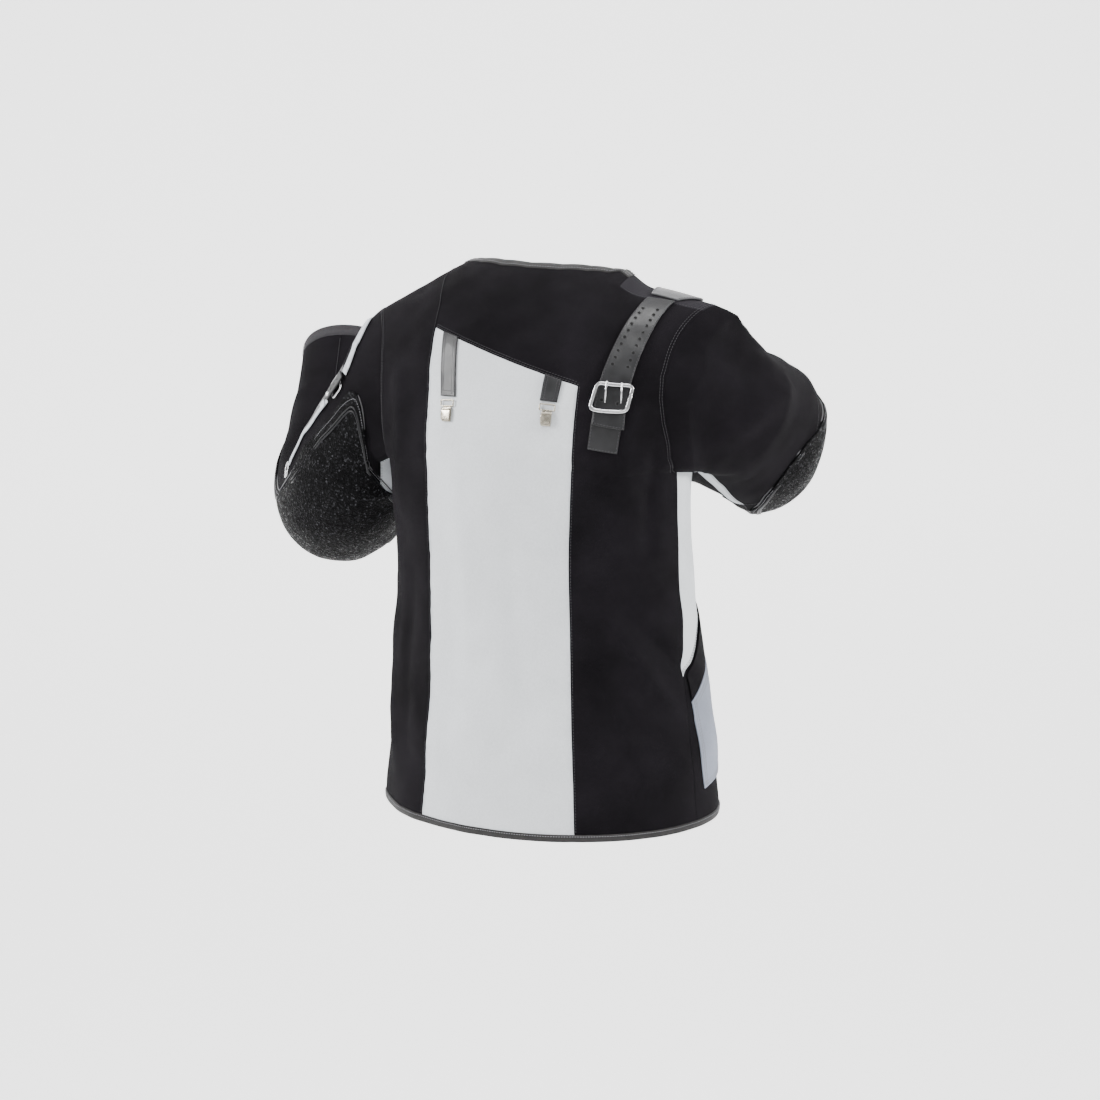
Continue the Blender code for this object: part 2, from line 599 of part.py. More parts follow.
class Sleeve:
    """The surface of one sleeve, from its armhole to its cuff."""

    def __init__(self, armhole, beside, corner, cuff, sections):
        """Keeps the armhole's points, those beside them, and where each lies round the sleeve."""
        self.armhole = np.vstack([armhole, armhole[:1]])
        self.beside = np.vstack([beside, beside[:1]])
        self.start = armhole.mean(axis=0)
        self.corner = corner
        self.cuff = cuff
        self.sections = sections
        _, _, outward, across = bent_path(self.start, corner, cuff, SLEEVE_BEND, np.zeros(1))
        spokes = self.armhole - self.start
        turn = np.unwrap(np.arctan2(spokes @ across, spokes @ outward[0]))
        self.armhole_turn = turn
        half = (len(self.armhole) - 1) // 2
        self.sense = 1.0 if turn[half] > turn[0] else -1.0
        steps = np.arange(half + 1) / half
        first = turn[0] + (turn[half] - turn[0]) * steps
        second = turn[half] + (turn[0] + self.sense * 2 * math.pi - turn[half]) * steps
        self.even_turn = np.concatenate([first, second[1:]])

    def round_points(self, way, turn):
        """Returns points of the round sleeve: an egg-shaped section carried along the bent path."""
        centre, _, outward, across = bent_path(self.start, self.corner, self.cuff, SLEEVE_BEND, way)
        stations = column(self.sections, 0)
        outside = smooth_between(way, stations, column(self.sections, 1))
        inside = smooth_between(way, stations, column(self.sections, 2))
        size_across = smooth_between(way, stations, column(self.sections, 3))
        size_out = np.where(np.cos(turn) > 0, outside, inside)
        return (centre + outward * (size_out * np.cos(turn))[..., None]
                + across * (size_across * np.sin(turn))[..., None])

    def points(self, way, turn):
        """Returns points at ways along the sleeve and turns round it, blended from the armhole's edge."""
        way, turn = np.broadcast_arrays(np.asarray(way, float), np.asarray(turn, float))
        lap = np.mod((turn - self.even_turn[0]) * self.sense, 2 * math.pi)
        number = np.arange(len(self.even_turn))
        place = np.interp(lap, (self.even_turn - self.even_turn[0]) * self.sense, number)
        edge = np.stack([np.interp(place, number, self.armhole[:, axis]) for axis in range(3)], axis=-1)
        edge_turn = np.interp(place, number, self.armhole_turn)
        even = np.interp(place, number, self.even_turn)
        share = smooth_between(way / SLEEVE_ROUND_FROM, (0, 0.5, 1), (0, 0.5, 1))
        centre, _, _, _ = bent_path(self.start, self.corner, self.cuff, SLEEVE_BEND, way)
        puff = SLEEVE_PUFF * np.sign(self.start[0]) * np.clip(way / SLEEVE_PUFF_BY, 0, 1)
        carried = edge + centre - self.start + puff[..., None] * np.array((1.0, 0.0, 0.0))
        rounded = self.round_points(way, edge_turn * (1 - share) + even * share)
        return carried * (1 - share[..., None]) + rounded * share[..., None]

    def grid(self):
        """Returns rings of points. The first ring stands off the trunk's edge by what the walls need.

        A wall that leaves another at an angle is clear of it by a gap when it starts at
        (thickness + gap) / sin(angle) from the other's edge.
        """
        ways = np.array(SLEEVE_STATIONS)[:, None]
        rings = self.points(ways, self.even_turn[None, :])
        rings[:, -1] = rings[:, 0]
        run = rings[1] - rings[0]
        run /= np.linalg.norm(run, axis=-1, keepdims=True)
        panel = self.beside - self.armhole
        edge = np.roll(self.armhole[:-1], -1, axis=0) - np.roll(self.armhole[:-1], 1, axis=0)
        normal = np.cross(panel, np.vstack([edge, edge[:1]]))
        normal /= np.linalg.norm(normal, axis=-1, keepdims=True)
        leaving = np.maximum(np.abs(np.sum(run * normal, axis=-1)), SHALLOWEST_LEAVING)
        rings[0] += run * ((CLOTH + SEAM_GAP) / leaving)[:, None]
        return rings

    def on_flats(self, way, turn):
        """Returns points like points() does, but on the flat cells of the sleeve's own grid."""
        way, turn = np.broadcast_arrays(np.asarray(way, float), np.asarray(turn, float))
        rings = self.grid()
        lap = np.mod((turn - self.even_turn[0]) * self.sense, 2 * math.pi)
        place = np.interp(lap, (self.even_turn - self.even_turn[0]) * self.sense, np.arange(rings.shape[1]))
        station = np.interp(way, SLEEVE_STATIONS, np.arange(rings.shape[0]))
        left = np.minimum(place.astype(int), rings.shape[1] - 2)
        low = np.minimum(station.astype(int), rings.shape[0] - 2)
        across = (place - left)[..., None]
        along = (station - low)[..., None]
        lower = rings[low, left] * (1 - across) + rings[low, left + 1] * across
        upper = rings[low + 1, left] * (1 - across) + rings[low + 1, left + 1] * across
        return lower * (1 - along) + upper * along


def make_sleeve(side, sleeve, black, white, binding):
    """Makes the pieces of one sleeve's tube."""
    grid = sleeve.grid()
    last = grid.shape[0] - 1
    around = grid.shape[1] - 1
    half = around // 2
    start = Vector(sleeve.start)

    def edge_gap(point):
        """Returns the pull-back at a point: more round the tight armhole."""
        return SLEEVE_EDGE if (point - start).length < ARMHOLE_REACH else TIGHT_EDGE

    for name, stations, columns, finish in (
            ("upper_back", (0, ELBOW_STATION), (0, half), black),
            ("upper_front", (0, ELBOW_STATION), (half, around), white),
            ("forearm_back", (ELBOW_STATION, CUFF_STATION), (0, half), black),
            ("forearm_front", (ELBOW_STATION, CUFF_STATION), (half, around), black)):
        wall(f"sleeve_{side}_{name}", [(grid, cells_of(grid, stations, columns))], finish, gap=edge_gap)
    wall("cuff_" + side, [(grid, cells_of(grid, (CUFF_STATION, last), (0, around)))], binding)


def strip_points(edges, along, across, facing=1):
    """Returns a grid on the trunk between two edges, each a list of (place across, level)."""
    rows = []
    for edge in edges:
        steps = np.linspace(0, 1, len(edge))
        reading = np.linspace(0, 1, along + 1)
        rows.append(np.stack([smooth_between(reading, steps, column(edge, 0)),
                              smooth_between(reading, steps, column(edge, 1))], axis=-1))
    share = np.linspace(0, 1, across + 1)[None, :, None]
    flat = rows[0][:, None] * (1 - share) + rows[1][:, None] * share
    return trunk_point(facing, angle_of(facing, flat[..., 0], flat[..., 1]), flat[..., 1])


def stand(*layers):
    """Returns how far a layer's middle stands off the cloth's middle, over the layers under it."""
    return CLOTH / 2 + sum(layers[:-1]) + SEAM_GAP * len(layers) + layers[-1] / 2


def wire(name, points, radius, finish, closed=False):
    """Makes a round wire through points, closed or with filled ends."""
    shape = bpy.data.curves.new(name, "CURVE")
    shape.dimensions = "3D"
    shape.bevel_depth = radius
    shape.bevel_resolution = 1
    shape.use_fill_caps = True
    line = shape.splines.new("POLY")
    line.points.add(len(points) - 1)
    line.points.foreach_set("co", np.column_stack([points, np.ones(len(points))]).ravel())
    line.use_cyclic_u = closed
    shape.materials.append(finish)
    item = bpy.data.objects.new(name, shape)
    JACKET.objects.link(item)
    return item


def local_frame(facing, place, level, lift):
    """Returns a matrix on the trunk: X across to the wearer's left, Y up along the cloth, Z out of it."""
    across = np.array([place - 0.001, place + 0.001, place, place])
    levels = np.array([level, level, level - 0.005, level + 0.005])
    points = trunk_point(facing, angle_of(facing, across, levels), levels)
    middle = points.mean(axis=0)
    right = Vector(points[1] - points[0]).normalized() * facing
    out = right.cross(Vector(points[3] - points[2])).normalized()
    if out.dot(Vector((0, facing, 0))) < 0:
        out.negate()
        right.negate()
    up = out.cross(right)
    frame = Matrix((right, up, out)).transposed().to_4x4()
    frame.translation = Vector(middle) + out * lift
    return frame


def lifted_points(place, level, lift):
    """Returns points of the back at places across and levels, each moved out along its own normal."""
    step = 0.002
    point = trunk_point(1, angle_of(1, place, level), level)
    beside = trunk_point(1, angle_of(1, place + step, level), level)
    above = trunk_point(1, angle_of(1, place, level + step), level + step)
    normal = np.cross(above - point, beside - point)
    normal /= np.linalg.norm(normal, axis=-1, keepdims=True)
    normal *= np.sign(normal[:, 1:2])
    return point + normal * np.broadcast_to(lift, point.shape[:1])[:, None]


def solid_box(name, frame, size, middle, round_edge, finish):
    """Makes a box with rounded edges in a local frame."""
    shape = bmesh.new()
    bmesh.ops.create_cube(shape, size=1.0)
    bmesh.ops.scale(shape, vec=Vector(size), verts=shape.verts)
    bmesh.ops.translate(shape, vec=Vector(middle), verts=shape.verts)
    mesh = bpy.data.meshes.new(name)
    shape.to_mesh(mesh)
    shape.free()
    item = keep_object(name, mesh, finish)
    item.matrix_world = frame
    rounding = item.modifiers.new("Round", "BEVEL")
    rounding.width = round_edge
    rounding.segments = 1
    return item


def solid_disc(name, frame, radius, thickness, segments, finish, turned=False):
    """Makes a short cylinder in a local frame, along Z, or along X when turned."""
    shape = bmesh.new()
    bmesh.ops.create_cone(shape, cap_ends=True, segments=segments, radius1=radius, radius2=radius,
                          depth=thickness)
    if turned:
        quarter = Matrix.Rotation(math.pi / 2, 3, "Y")
        bmesh.ops.rotate(shape, cent=(0, 0, 0), matrix=quarter, verts=shape.verts)
    mesh = bpy.data.meshes.new(name)
    shape.to_mesh(mesh)
    shape.free()
    item = keep_object(name, mesh, finish)
    item.matrix_world = frame
    return item


def make_pocket(grey, black):
    """Makes the pocket and its welt on the wearer's right front."""
    angles = np.linspace(POCKET[0][0], POCKET[-1][0], 10)
    low = smooth_between(angles, column(POCKET, 0), column(POCKET, 1))
    high = smooth_between(angles, column(POCKET, 0), column(POCKET, 2))
    share = np.linspace(0, 1, 7)[:, None]
    lean = (1 - share) * POCKET_REAR_LEAN * (angles - angles[0]) / (angles[-1] - angles[0])
    grid = trunk_point(-1, angles - lean, low * (1 - share) + high * share)
    wall("pocket", [(moved_out(grid, np.full(grid.shape[:2], stand(POCKET_CLOTH)), (0, 0.02, -0.5)), None)],
         grey, POCKET_CLOTH)
    top = smooth_between(angles, column(LOWER_FRONT_EDGE, 0), column(LOWER_FRONT_EDGE, 1))
    share = np.linspace(0, 1, 4)[:, None]
    welt = trunk_point(-1, angles + 0 * share, (high + WELT_STEP) * (1 - share) + (top - WELT_STEP) * share)
    lift = np.full(welt.shape[:2], stand(POCKET_CLOTH) + SAG)
    wall("pocket_welt", [(moved_out(welt, lift, (0, 0.02, -0.5)), None)], black, POCKET_CLOTH)


def make_closure(black, horn):
    """Makes the placket down the front's middle and its buttons."""
    levels = np.linspace(0.026, 1.365, 15)
    edges = [tuple((side * PLACKET_HALF_WIDTH, level) for level in levels) for side in (1, -1)]
    grid = strip_points(edges, 18, 2, facing=-1)
    lift = np.full(grid.shape[:2], stand(CLOTH))
    wall("front_placket", [(moved_out(grid, lift, (0, 0.02, -0.3)), None)], black)
    for number, level in enumerate(BUTTON_LEVELS, 1):
        frame = local_frame(-1, 0.0, level, stand(CLOTH, BUTTON_THICKNESS) + SAG)
        solid_disc(f"button_{number}", frame, BUTTON_RADIUS, BUTTON_THICKNESS, 16, horn)


def make_shoulder_strap(leather, steel):
    """Makes the leather over the right shoulder, the holed strap, its anchor and its buckle."""
    rows = []
    for facing, inner, outer, level in OVER_SHOULDER:
        places = np.linspace(inner, outer, 5)
        rows.append(trunk_point(facing, angle_of(facing, places, level), np.full(5, level)))
    over = np.array(rows)
    lift = np.full(over.shape[:2], stand(LEATHER) + SAG)
    wall("strap_over_shoulder", [(moved_out(over, lift, (-0.16, 0.01, -0.2)), None)], leather, LEATHER)
    strap = strip_points(SHOULDER_STRAP_BACK, 16, 3)
    raised = np.clip((np.linspace(0, 1, 17) - 0.28) / 0.18, 0, 1)
    raised = raised * raised * (3 - 2 * raised)
    lift = SAG + stand(LEATHER) + (stand(LEATHER, LEATHER) - stand(LEATHER)) * raised[:, None] * np.ones(4)
    wall("strap_back", [(moved_out(strap, lift, (-0.1, 0, -0.2)), None)], leather, LEATHER)
    anchor = strip_points(STRAP_ANCHOR, 8, 3)
    lift = np.full(anchor.shape[:2], stand(LEATHER))
    wall("strap_anchor", [(moved_out(anchor, lift, (-0.1, 0, -0.2)), None)], leather, LEATHER)
    turn = np.linspace(0, 2 * math.pi, 33)[:-1]
    across = np.sign(np.cos(turn)) * np.abs(np.cos(turn)) ** BUCKLE_SQUARENESS * BUCKLE_HALF_WIDTH
    lengthwise = np.sign(np.sin(turn)) * np.abs(np.sin(turn)) ** BUCKLE_SQUARENESS
    level = BUCKLE_MIDDLE[1] + BUCKLE_HALF_LEVEL * lengthwise - BUCKLE_SLANT * across
    place = BUCKLE_MIDDLE[0] + across - BUCKLE_LEAN * lengthwise
    rise = stand(LEATHER, LEATHER, 2 * BUCKLE_WIRE) + 2 * SAG
    wire("strap_buckle", lifted_points(place, level, rise), BUCKLE_WIRE, steel, closed=True)
    high = rise + BUCKLE_WIRE + SEAM_GAP + PRONG_WIRE
    low = stand(LEATHER, LEATHER, 2 * PRONG_WIRE) + 2 * SAG
    reading = np.linspace(0, 1, 6)
    fall = high + (low - high) * np.clip((reading - 0.42) / 0.58, 0, 1)
    top = BUCKLE_MIDDLE[1] + BUCKLE_HALF_LEVEL + 0.008
    for name, side in (("strap_prong_inner", 1), ("strap_prong_outer", -1)):
        place = np.full(6, BUCKLE_MIDDLE[0] + side * PRONG_SPREAD - 0.002)
        levels = top - BUCKLE_SLANT * side * PRONG_SPREAD - PRONG_LEVELS * reading
        wire(name, lifted_points(place, levels, fall), PRONG_WIRE, steel)


def make_tab_and_clip(side, edges, clip, leather, nickel):
    """Makes one leather tab on the back and the clip under it, with its lever on a pin."""
    tab = strip_points(edges, 6, 2)
    lift = np.full(tab.shape[:2], stand(LEATHER))
    wall("tab_" + side, [(moved_out(tab, lift, (0, 0, -0.2)), None)], leather, LEATHER)
    frame = local_frame(1, *clip, CLOTH / 2 + 2 * SEAM_GAP + CLIP_PLATE / 2)
    solid_box("clip_plate_" + side, frame, (CLIP_WIDTH, CLIP_HEIGHT, CLIP_PLATE), (0, 0, 0), CLIP_ROUND, nickel)
    loop_low = CLIP_HEIGHT / 2 + SEAM_GAP + LOOP_WIRE
    corners = [(x * LOOP_WIDTH / 2, loop_low + y * LOOP_HEIGHT, LOOP_LIFT)
               for x, y in ((-0.9, 0), (0.9, 0), (1, 0.12), (1, 0.88), (0.9, 1), (-0.9, 1), (-1, 0.88), (-1, 0.12))]
    points = np.array([frame @ Vector(corner) for corner in corners])
    wire("clip_loop_" + side, points, LOOP_WIRE, nickel, closed=True)
    axis_height = CLIP_PLATE / 2 + PIN_STAND
    axis_up = CLIP_HEIGHT / 2 - 0.0022
    pin = frame @ Matrix.Translation((0, axis_up, axis_height))
    solid_disc("clip_pin_" + side, pin, PIN_RADIUS, CLIP_WIDTH, 12, nickel, turned=True)
    solid_box("clip_lever_" + side, pin, (LEVER_WIDTH, LEVER_HEIGHT, LEVER_PLATE),
              (0, -LEVER_START - LEVER_HEIGHT / 2, 0), LEVER_ROUND, nickel)


def make_patch(side, sleeve, table, more, rubber):
    """Makes the rubber patch round a sleeve's elbow. more is how far it stands off over the tight bend."""
    turns = np.linspace(table[0][0], table[-1][0], 18)
    start = smooth_between(turns, column(table, 0), column(table, 1))
    end = smooth_between(turns, column(table, 0), column(table, 2))
    share = np.linspace(0, 1, 25)[:, None]
    ways = start * (1 - share) + end * share
    grid = sleeve.points(ways, np.radians(turns) + 0 * ways)
    inner_bend = sleeve.points(np.array([0.5]), np.array([math.pi]))[0]
    lift = np.full(grid.shape[:2], stand(RUBBER) + more)
    wall(f"elbow_patch_{side}", [(moved_out(grid, lift, inner_bend), None)], rubber, RUBBER)


def sleeve_strip(sleeve, path, width, along, thickness):
    """Returns a strip's points on a sleeve, along (way, turn) points, moved out by its own thickness."""
    reading = np.linspace(0, 1, along + 1)
    steps = np.linspace(0, 1, len(path))
    ways = smooth_between(reading, steps, column(path, 0))
    turns = np.radians(smooth_between(reading, steps, column(path, 1)))
    middle = sleeve.on_flats(ways, turns)
    run = np.gradient(middle, axis=0)
    centre, _, _, _ = bent_path(sleeve.start, sleeve.corner, sleeve.cuff, SLEEVE_BEND, ways)
    out = middle - centre
    out /= np.linalg.norm(out, axis=-1, keepdims=True)
    sideways = np.cross(out, run)
    sideways /= np.linalg.norm(sideways, axis=-1, keepdims=True)
    out = np.cross(run, sideways)
    out /= np.linalg.norm(out, axis=-1, keepdims=True)
    middle = middle + out * (stand(thickness) + SLING_STAND)
    share = np.linspace(-0.5, 0.5, 3)[None, :, None]
    return middle[:, None] + sideways[:, None] * share * width, middle, sideways, out


def make_sling(sleeve, webbing, nickel):
    """Makes the sling strap of the left sleeve, with its ring and its hook."""
    upper, _, _, _ = sleeve_strip(sleeve, SLING_UPPER, SLING_UPPER_WIDTH, 8, SLING_WEB)
    wall("sling_strap_upper", [(upper, None)], webbing, SLING_WEB)
    lower, _, _, _ = sleeve_strip(sleeve, SLING_LOWER, SLING_LOWER_WIDTH, 10, SLING_WEB)
    wall("sling_strap_lower", [(lower, None)], webbing, SLING_WEB)
    for name, place, size in (("sling_ring", SLING_RING, SLING_RING_SIZE),
                              ("sling_hook", SLING_HOOK, SLING_HOOK_SIZE)):
        path = ((place[0] - 0.01, place[1]), (place[0] + 0.01, place[1]))
        _, middle, sideways, out = sleeve_strip(sleeve, path, size[0], 2, 2 * SLING_WIRE)
        run = np.cross(sideways[1], out[1])
        turn = np.linspace(0, 2 * math.pi, 17)[:-1]
        points = middle[1] + np.outer(np.cos(turn), sideways[1]) * size[0] + np.outer(np.sin(turn), run) * size[1]
        wire(name, points - out[1] * RING_SINK, SLING_WIRE, nickel, closed=True)


clear_scene()
JACKET = bpy.data.collections.new("shooting_jacket")
bpy.context.scene.collection.children.link(JACKET)
canvas_black = material("canvas_black", BLACK, 0.9)
canvas_shoulder = material("canvas_shoulder", (0.03, 0.028, 0.034), 0.85)
canvas_white = material("canvas_white", WHITE, 0.8)
canvas_grey = material("canvas_grey", GREY, 0.7)
tape_grey = material("tape_grey", (0.05, 0.047, 0.05), 0.7)
leather_black = material("leather_black", (0.02, 0.02, 0.021), 0.4)
rubber_black = material("rubber_black", (0.02, 0.02, 0.02), 0.8)
buckle_steel = material("buckle_steel", (0.55, 0.55, 0.55), 0.3, 1.0)
clip_nickel = material("clip_nickel", (0.68, 0.63, 0.54), 0.3, 1.0)
button_black = material("button_black", (0.03, 0.03, 0.032), 0.4)
webbing_silver = material("webbing_silver", (0.5, 0.51, 0.53), 0.6)
armhole_left, armhole_right = make_trunk(canvas_black, canvas_white, canvas_shoulder, tape_grey)
sleeve_left = Sleeve(*armhole_left, LEFT_ELBOW_CORNER, LEFT_CUFF, LEFT_SLEEVE_SECTIONS)
sleeve_right = Sleeve(*armhole_right, RIGHT_ELBOW_CORNER, RIGHT_CUFF, RIGHT_SLEEVE_SECTIONS)
make_sleeve("left", sleeve_left, canvas_black, canvas_white, canvas_black)
make_sleeve("right", sleeve_right, canvas_black, canvas_white, canvas_black)
make_patch("left", sleeve_left, PATCH_LEFT, PATCH_STAND_LEFT, rubber_black)
make_patch("right", sleeve_right, PATCH_RIGHT, PATCH_STAND_RIGHT, rubber_black)
make_pocket(canvas_grey, canvas_black)
make_closure(canvas_black, button_black)
make_shoulder_strap(leather_black, buckle_steel)
make_tab_and_clip("left", TAB_LEFT, CLIP_LEFT, leather_black, clip_nickel)
make_tab_and_clip("right", TAB_RIGHT, CLIP_RIGHT, leather_black, clip_nickel)
make_sling(sleeve_left, webbing_silver, clip_nickel)
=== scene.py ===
"""The looks of a target shooting jacket: cloth, rubber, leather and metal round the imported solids.

Metres, +Z up. The wearer faces -Y and the wearer's left side is at +X.
"""
from __future__ import annotations

import logging
import math
from dataclasses import dataclass, field
from enum import Enum

import bmesh
import bpy
import numpy as np
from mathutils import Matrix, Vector

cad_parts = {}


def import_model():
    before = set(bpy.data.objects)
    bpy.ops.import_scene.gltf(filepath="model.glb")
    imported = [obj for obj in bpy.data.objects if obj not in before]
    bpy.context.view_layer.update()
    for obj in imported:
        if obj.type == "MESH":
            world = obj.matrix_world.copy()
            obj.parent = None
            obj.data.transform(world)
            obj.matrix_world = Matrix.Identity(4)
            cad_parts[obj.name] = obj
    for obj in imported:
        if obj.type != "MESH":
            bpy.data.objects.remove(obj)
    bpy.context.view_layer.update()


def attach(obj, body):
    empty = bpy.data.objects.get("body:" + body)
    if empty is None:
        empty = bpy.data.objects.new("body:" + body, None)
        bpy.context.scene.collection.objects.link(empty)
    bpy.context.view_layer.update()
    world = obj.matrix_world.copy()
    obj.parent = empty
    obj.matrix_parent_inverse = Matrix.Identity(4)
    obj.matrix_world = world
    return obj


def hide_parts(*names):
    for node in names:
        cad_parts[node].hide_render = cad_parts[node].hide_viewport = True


LOG = logging.getLogger("jacket")
Array = np.ndarray
Table = tuple[tuple[float, ...], ...]


class Half(Enum):
    """The two halves of the trunk, by the sign of their direction in Y."""

    BACK = 1
    FRONT = -1


class Side(Enum):
    """The wearer's sides, as they are named in the pieces."""

    LEFT = "left"
    RIGHT = "right"


class Body(Enum):
    """The rigid bodies of the frame."""

    JACKET = "jacket"
    LEVER_LEFT = "lever_left"
    LEVER_RIGHT = "lever_right"


def column(table: Table, index: int) -> Array:
    """Returns one column of a table."""
    return np.array([row[index] for row in table], float)


def smooth_between(value: Array, xs: Array, ys: Array) -> Array:
    """Reads a Catmull-Rom curve through the points (xs, ys).

    With t the place inside a step h, the value is y0(1+2t)(1-t)^2 + y1 t^2(3-2t)
    + h(m0 t(1-t)^2 - m1 t^2(1-t)).

    Args:
        value: where it is read.
        xs: rising places.
        ys: the values there.

    Returns:
        The values at value.
    """
    xs = np.asarray(xs, float)
    ys = np.asarray(ys, float)
    value = np.clip(np.asarray(value, float), xs[0], xs[-1])
    slopes = np.gradient(ys, xs)
    place = np.clip(np.searchsorted(xs, value, side="right") - 1, 0, len(xs) - 2)
    step = xs[place + 1] - xs[place]
    t = (value - xs[place]) / step
    rise = ys[place] * (1 + 2 * t) * (1 - t) ** 2 + ys[place + 1] * t * t * (3 - 2 * t)
    lean = slopes[place] * t * (1 - t) ** 2 - slopes[place + 1] * t * t * (1 - t)
    return rise + step * lean


def read(table: Table, value: Array, index: int) -> Array:
    """Reads one column of a table at values of its first column, along a smooth curve."""
    return smooth_between(value, column(table, 0), column(table, index))


def ramp(value: Array, low: float, high: float) -> Array:
    """Returns a smooth step t^2(3-2t) from 0 at low to 1 at high."""
    t = np.clip((np.asarray(value, float) - low) / (high - low), 0, 1)
    return t * t * (3 - 2 * t)


def refined(values: Array, steps: int) -> Array:
    """Splits each cell of a table of values in steps, linearly both ways.

    Args:
        values: rows by columns, with any further axes.
        steps: how many parts each cell is split in, each way.

    Returns:
        The finer table.
    """
    for axis in (0, 1):
        count = values.shape[axis]
        places = np.linspace(0, count - 1, (count - 1) * steps + 1)
        low = np.minimum(places.astype(int), count - 2)
        share = (places - low).reshape([-1 if a == axis else 1 for a in range(values.ndim)])
        values = np.take(values, low, axis) * (1 - share) + np.take(values, low + 1, axis) * share
    return values


def unit(vectors: Array) -> Array:
    """Returns vectors of length 1."""
    return vectors / np.maximum(np.linalg.norm(vectors, axis=-1, keepdims=True), 1e-12)


@dataclass(frozen=True)
class Crease:
    """A soft ridge (height above 0) or trough (below 0) along a short bent line."""

    points: tuple[tuple[float, float], ...]
    height: float
    width: float

    def marks(self) -> tuple[Array, Array]:
        """Returns the line's two coordinates at seven even places."""
        reading, knots = np.linspace(0, 1, 7), np.linspace(0, 1, len(self.points))
        return tuple(smooth_between(reading, knots, column(self.points, axis)) for axis in (0, 1))

    def relief(self, places: Array, line: Array) -> Array:
        """Returns the crease's height at places.

        With d the distance to the line and s the share along it, the height is
        h exp(-(d/w)^2) (4 s(1-s))^0.6.

        Args:
            places: points, N by 3.
            line: the crease's points in space, M by 3.

        Returns:
            N heights in metres.
        """
        best = np.full(len(places), np.inf)
        share = np.zeros(len(places))
        count = len(line) - 1
        for number in range(count):
            start, run = line[number], line[number + 1] - line[number]
            t = np.clip((places - start) @ run / (run @ run), 0, 1)
            distance = np.linalg.norm(places - start - t[:, None] * run, axis=1)
            nearer = distance < best
            best[nearer] = distance[nearer]
            share[nearer] = (number + t[nearer]) / count
        fade = np.clip(4 * share * (1 - share), 0, 1) ** 0.6
        return self.height * np.exp(-(best / self.width) ** 2) * fade


def unevenness(places: Array, pitch: float, seed: float) -> Array:
    """Returns a soft uneven field between about -1 and 1, from sines along slanted directions.

    The field is the mean of sin(2 pi k.p / pitch + phase) over five directions k.

    Args:
        places: points, with X, Y, Z on the last axis.
        pitch: the usual distance between highs, in metres.
        seed: moves the phases.

    Returns:
        One value for each point.
    """
    total = np.zeros(places.shape[:-1])
    for number in range(5):
        turn = 2.4 * number + seed
        way = np.array([math.cos(turn), math.sin(1.7 * turn), math.sin(turn)]) * (0.75 + 0.13 * number)
        total += np.sin(2 * math.pi * (places @ way) / pitch + 1.9 * number * seed)
    return total / 3


def swelling(places: Array, swells: Table) -> Array:
    """Returns the sum of uneven fields, given by rows of height, pitch and seed."""
    return sum(height * unevenness(places, pitch, seed) for height, pitch, seed in swells)


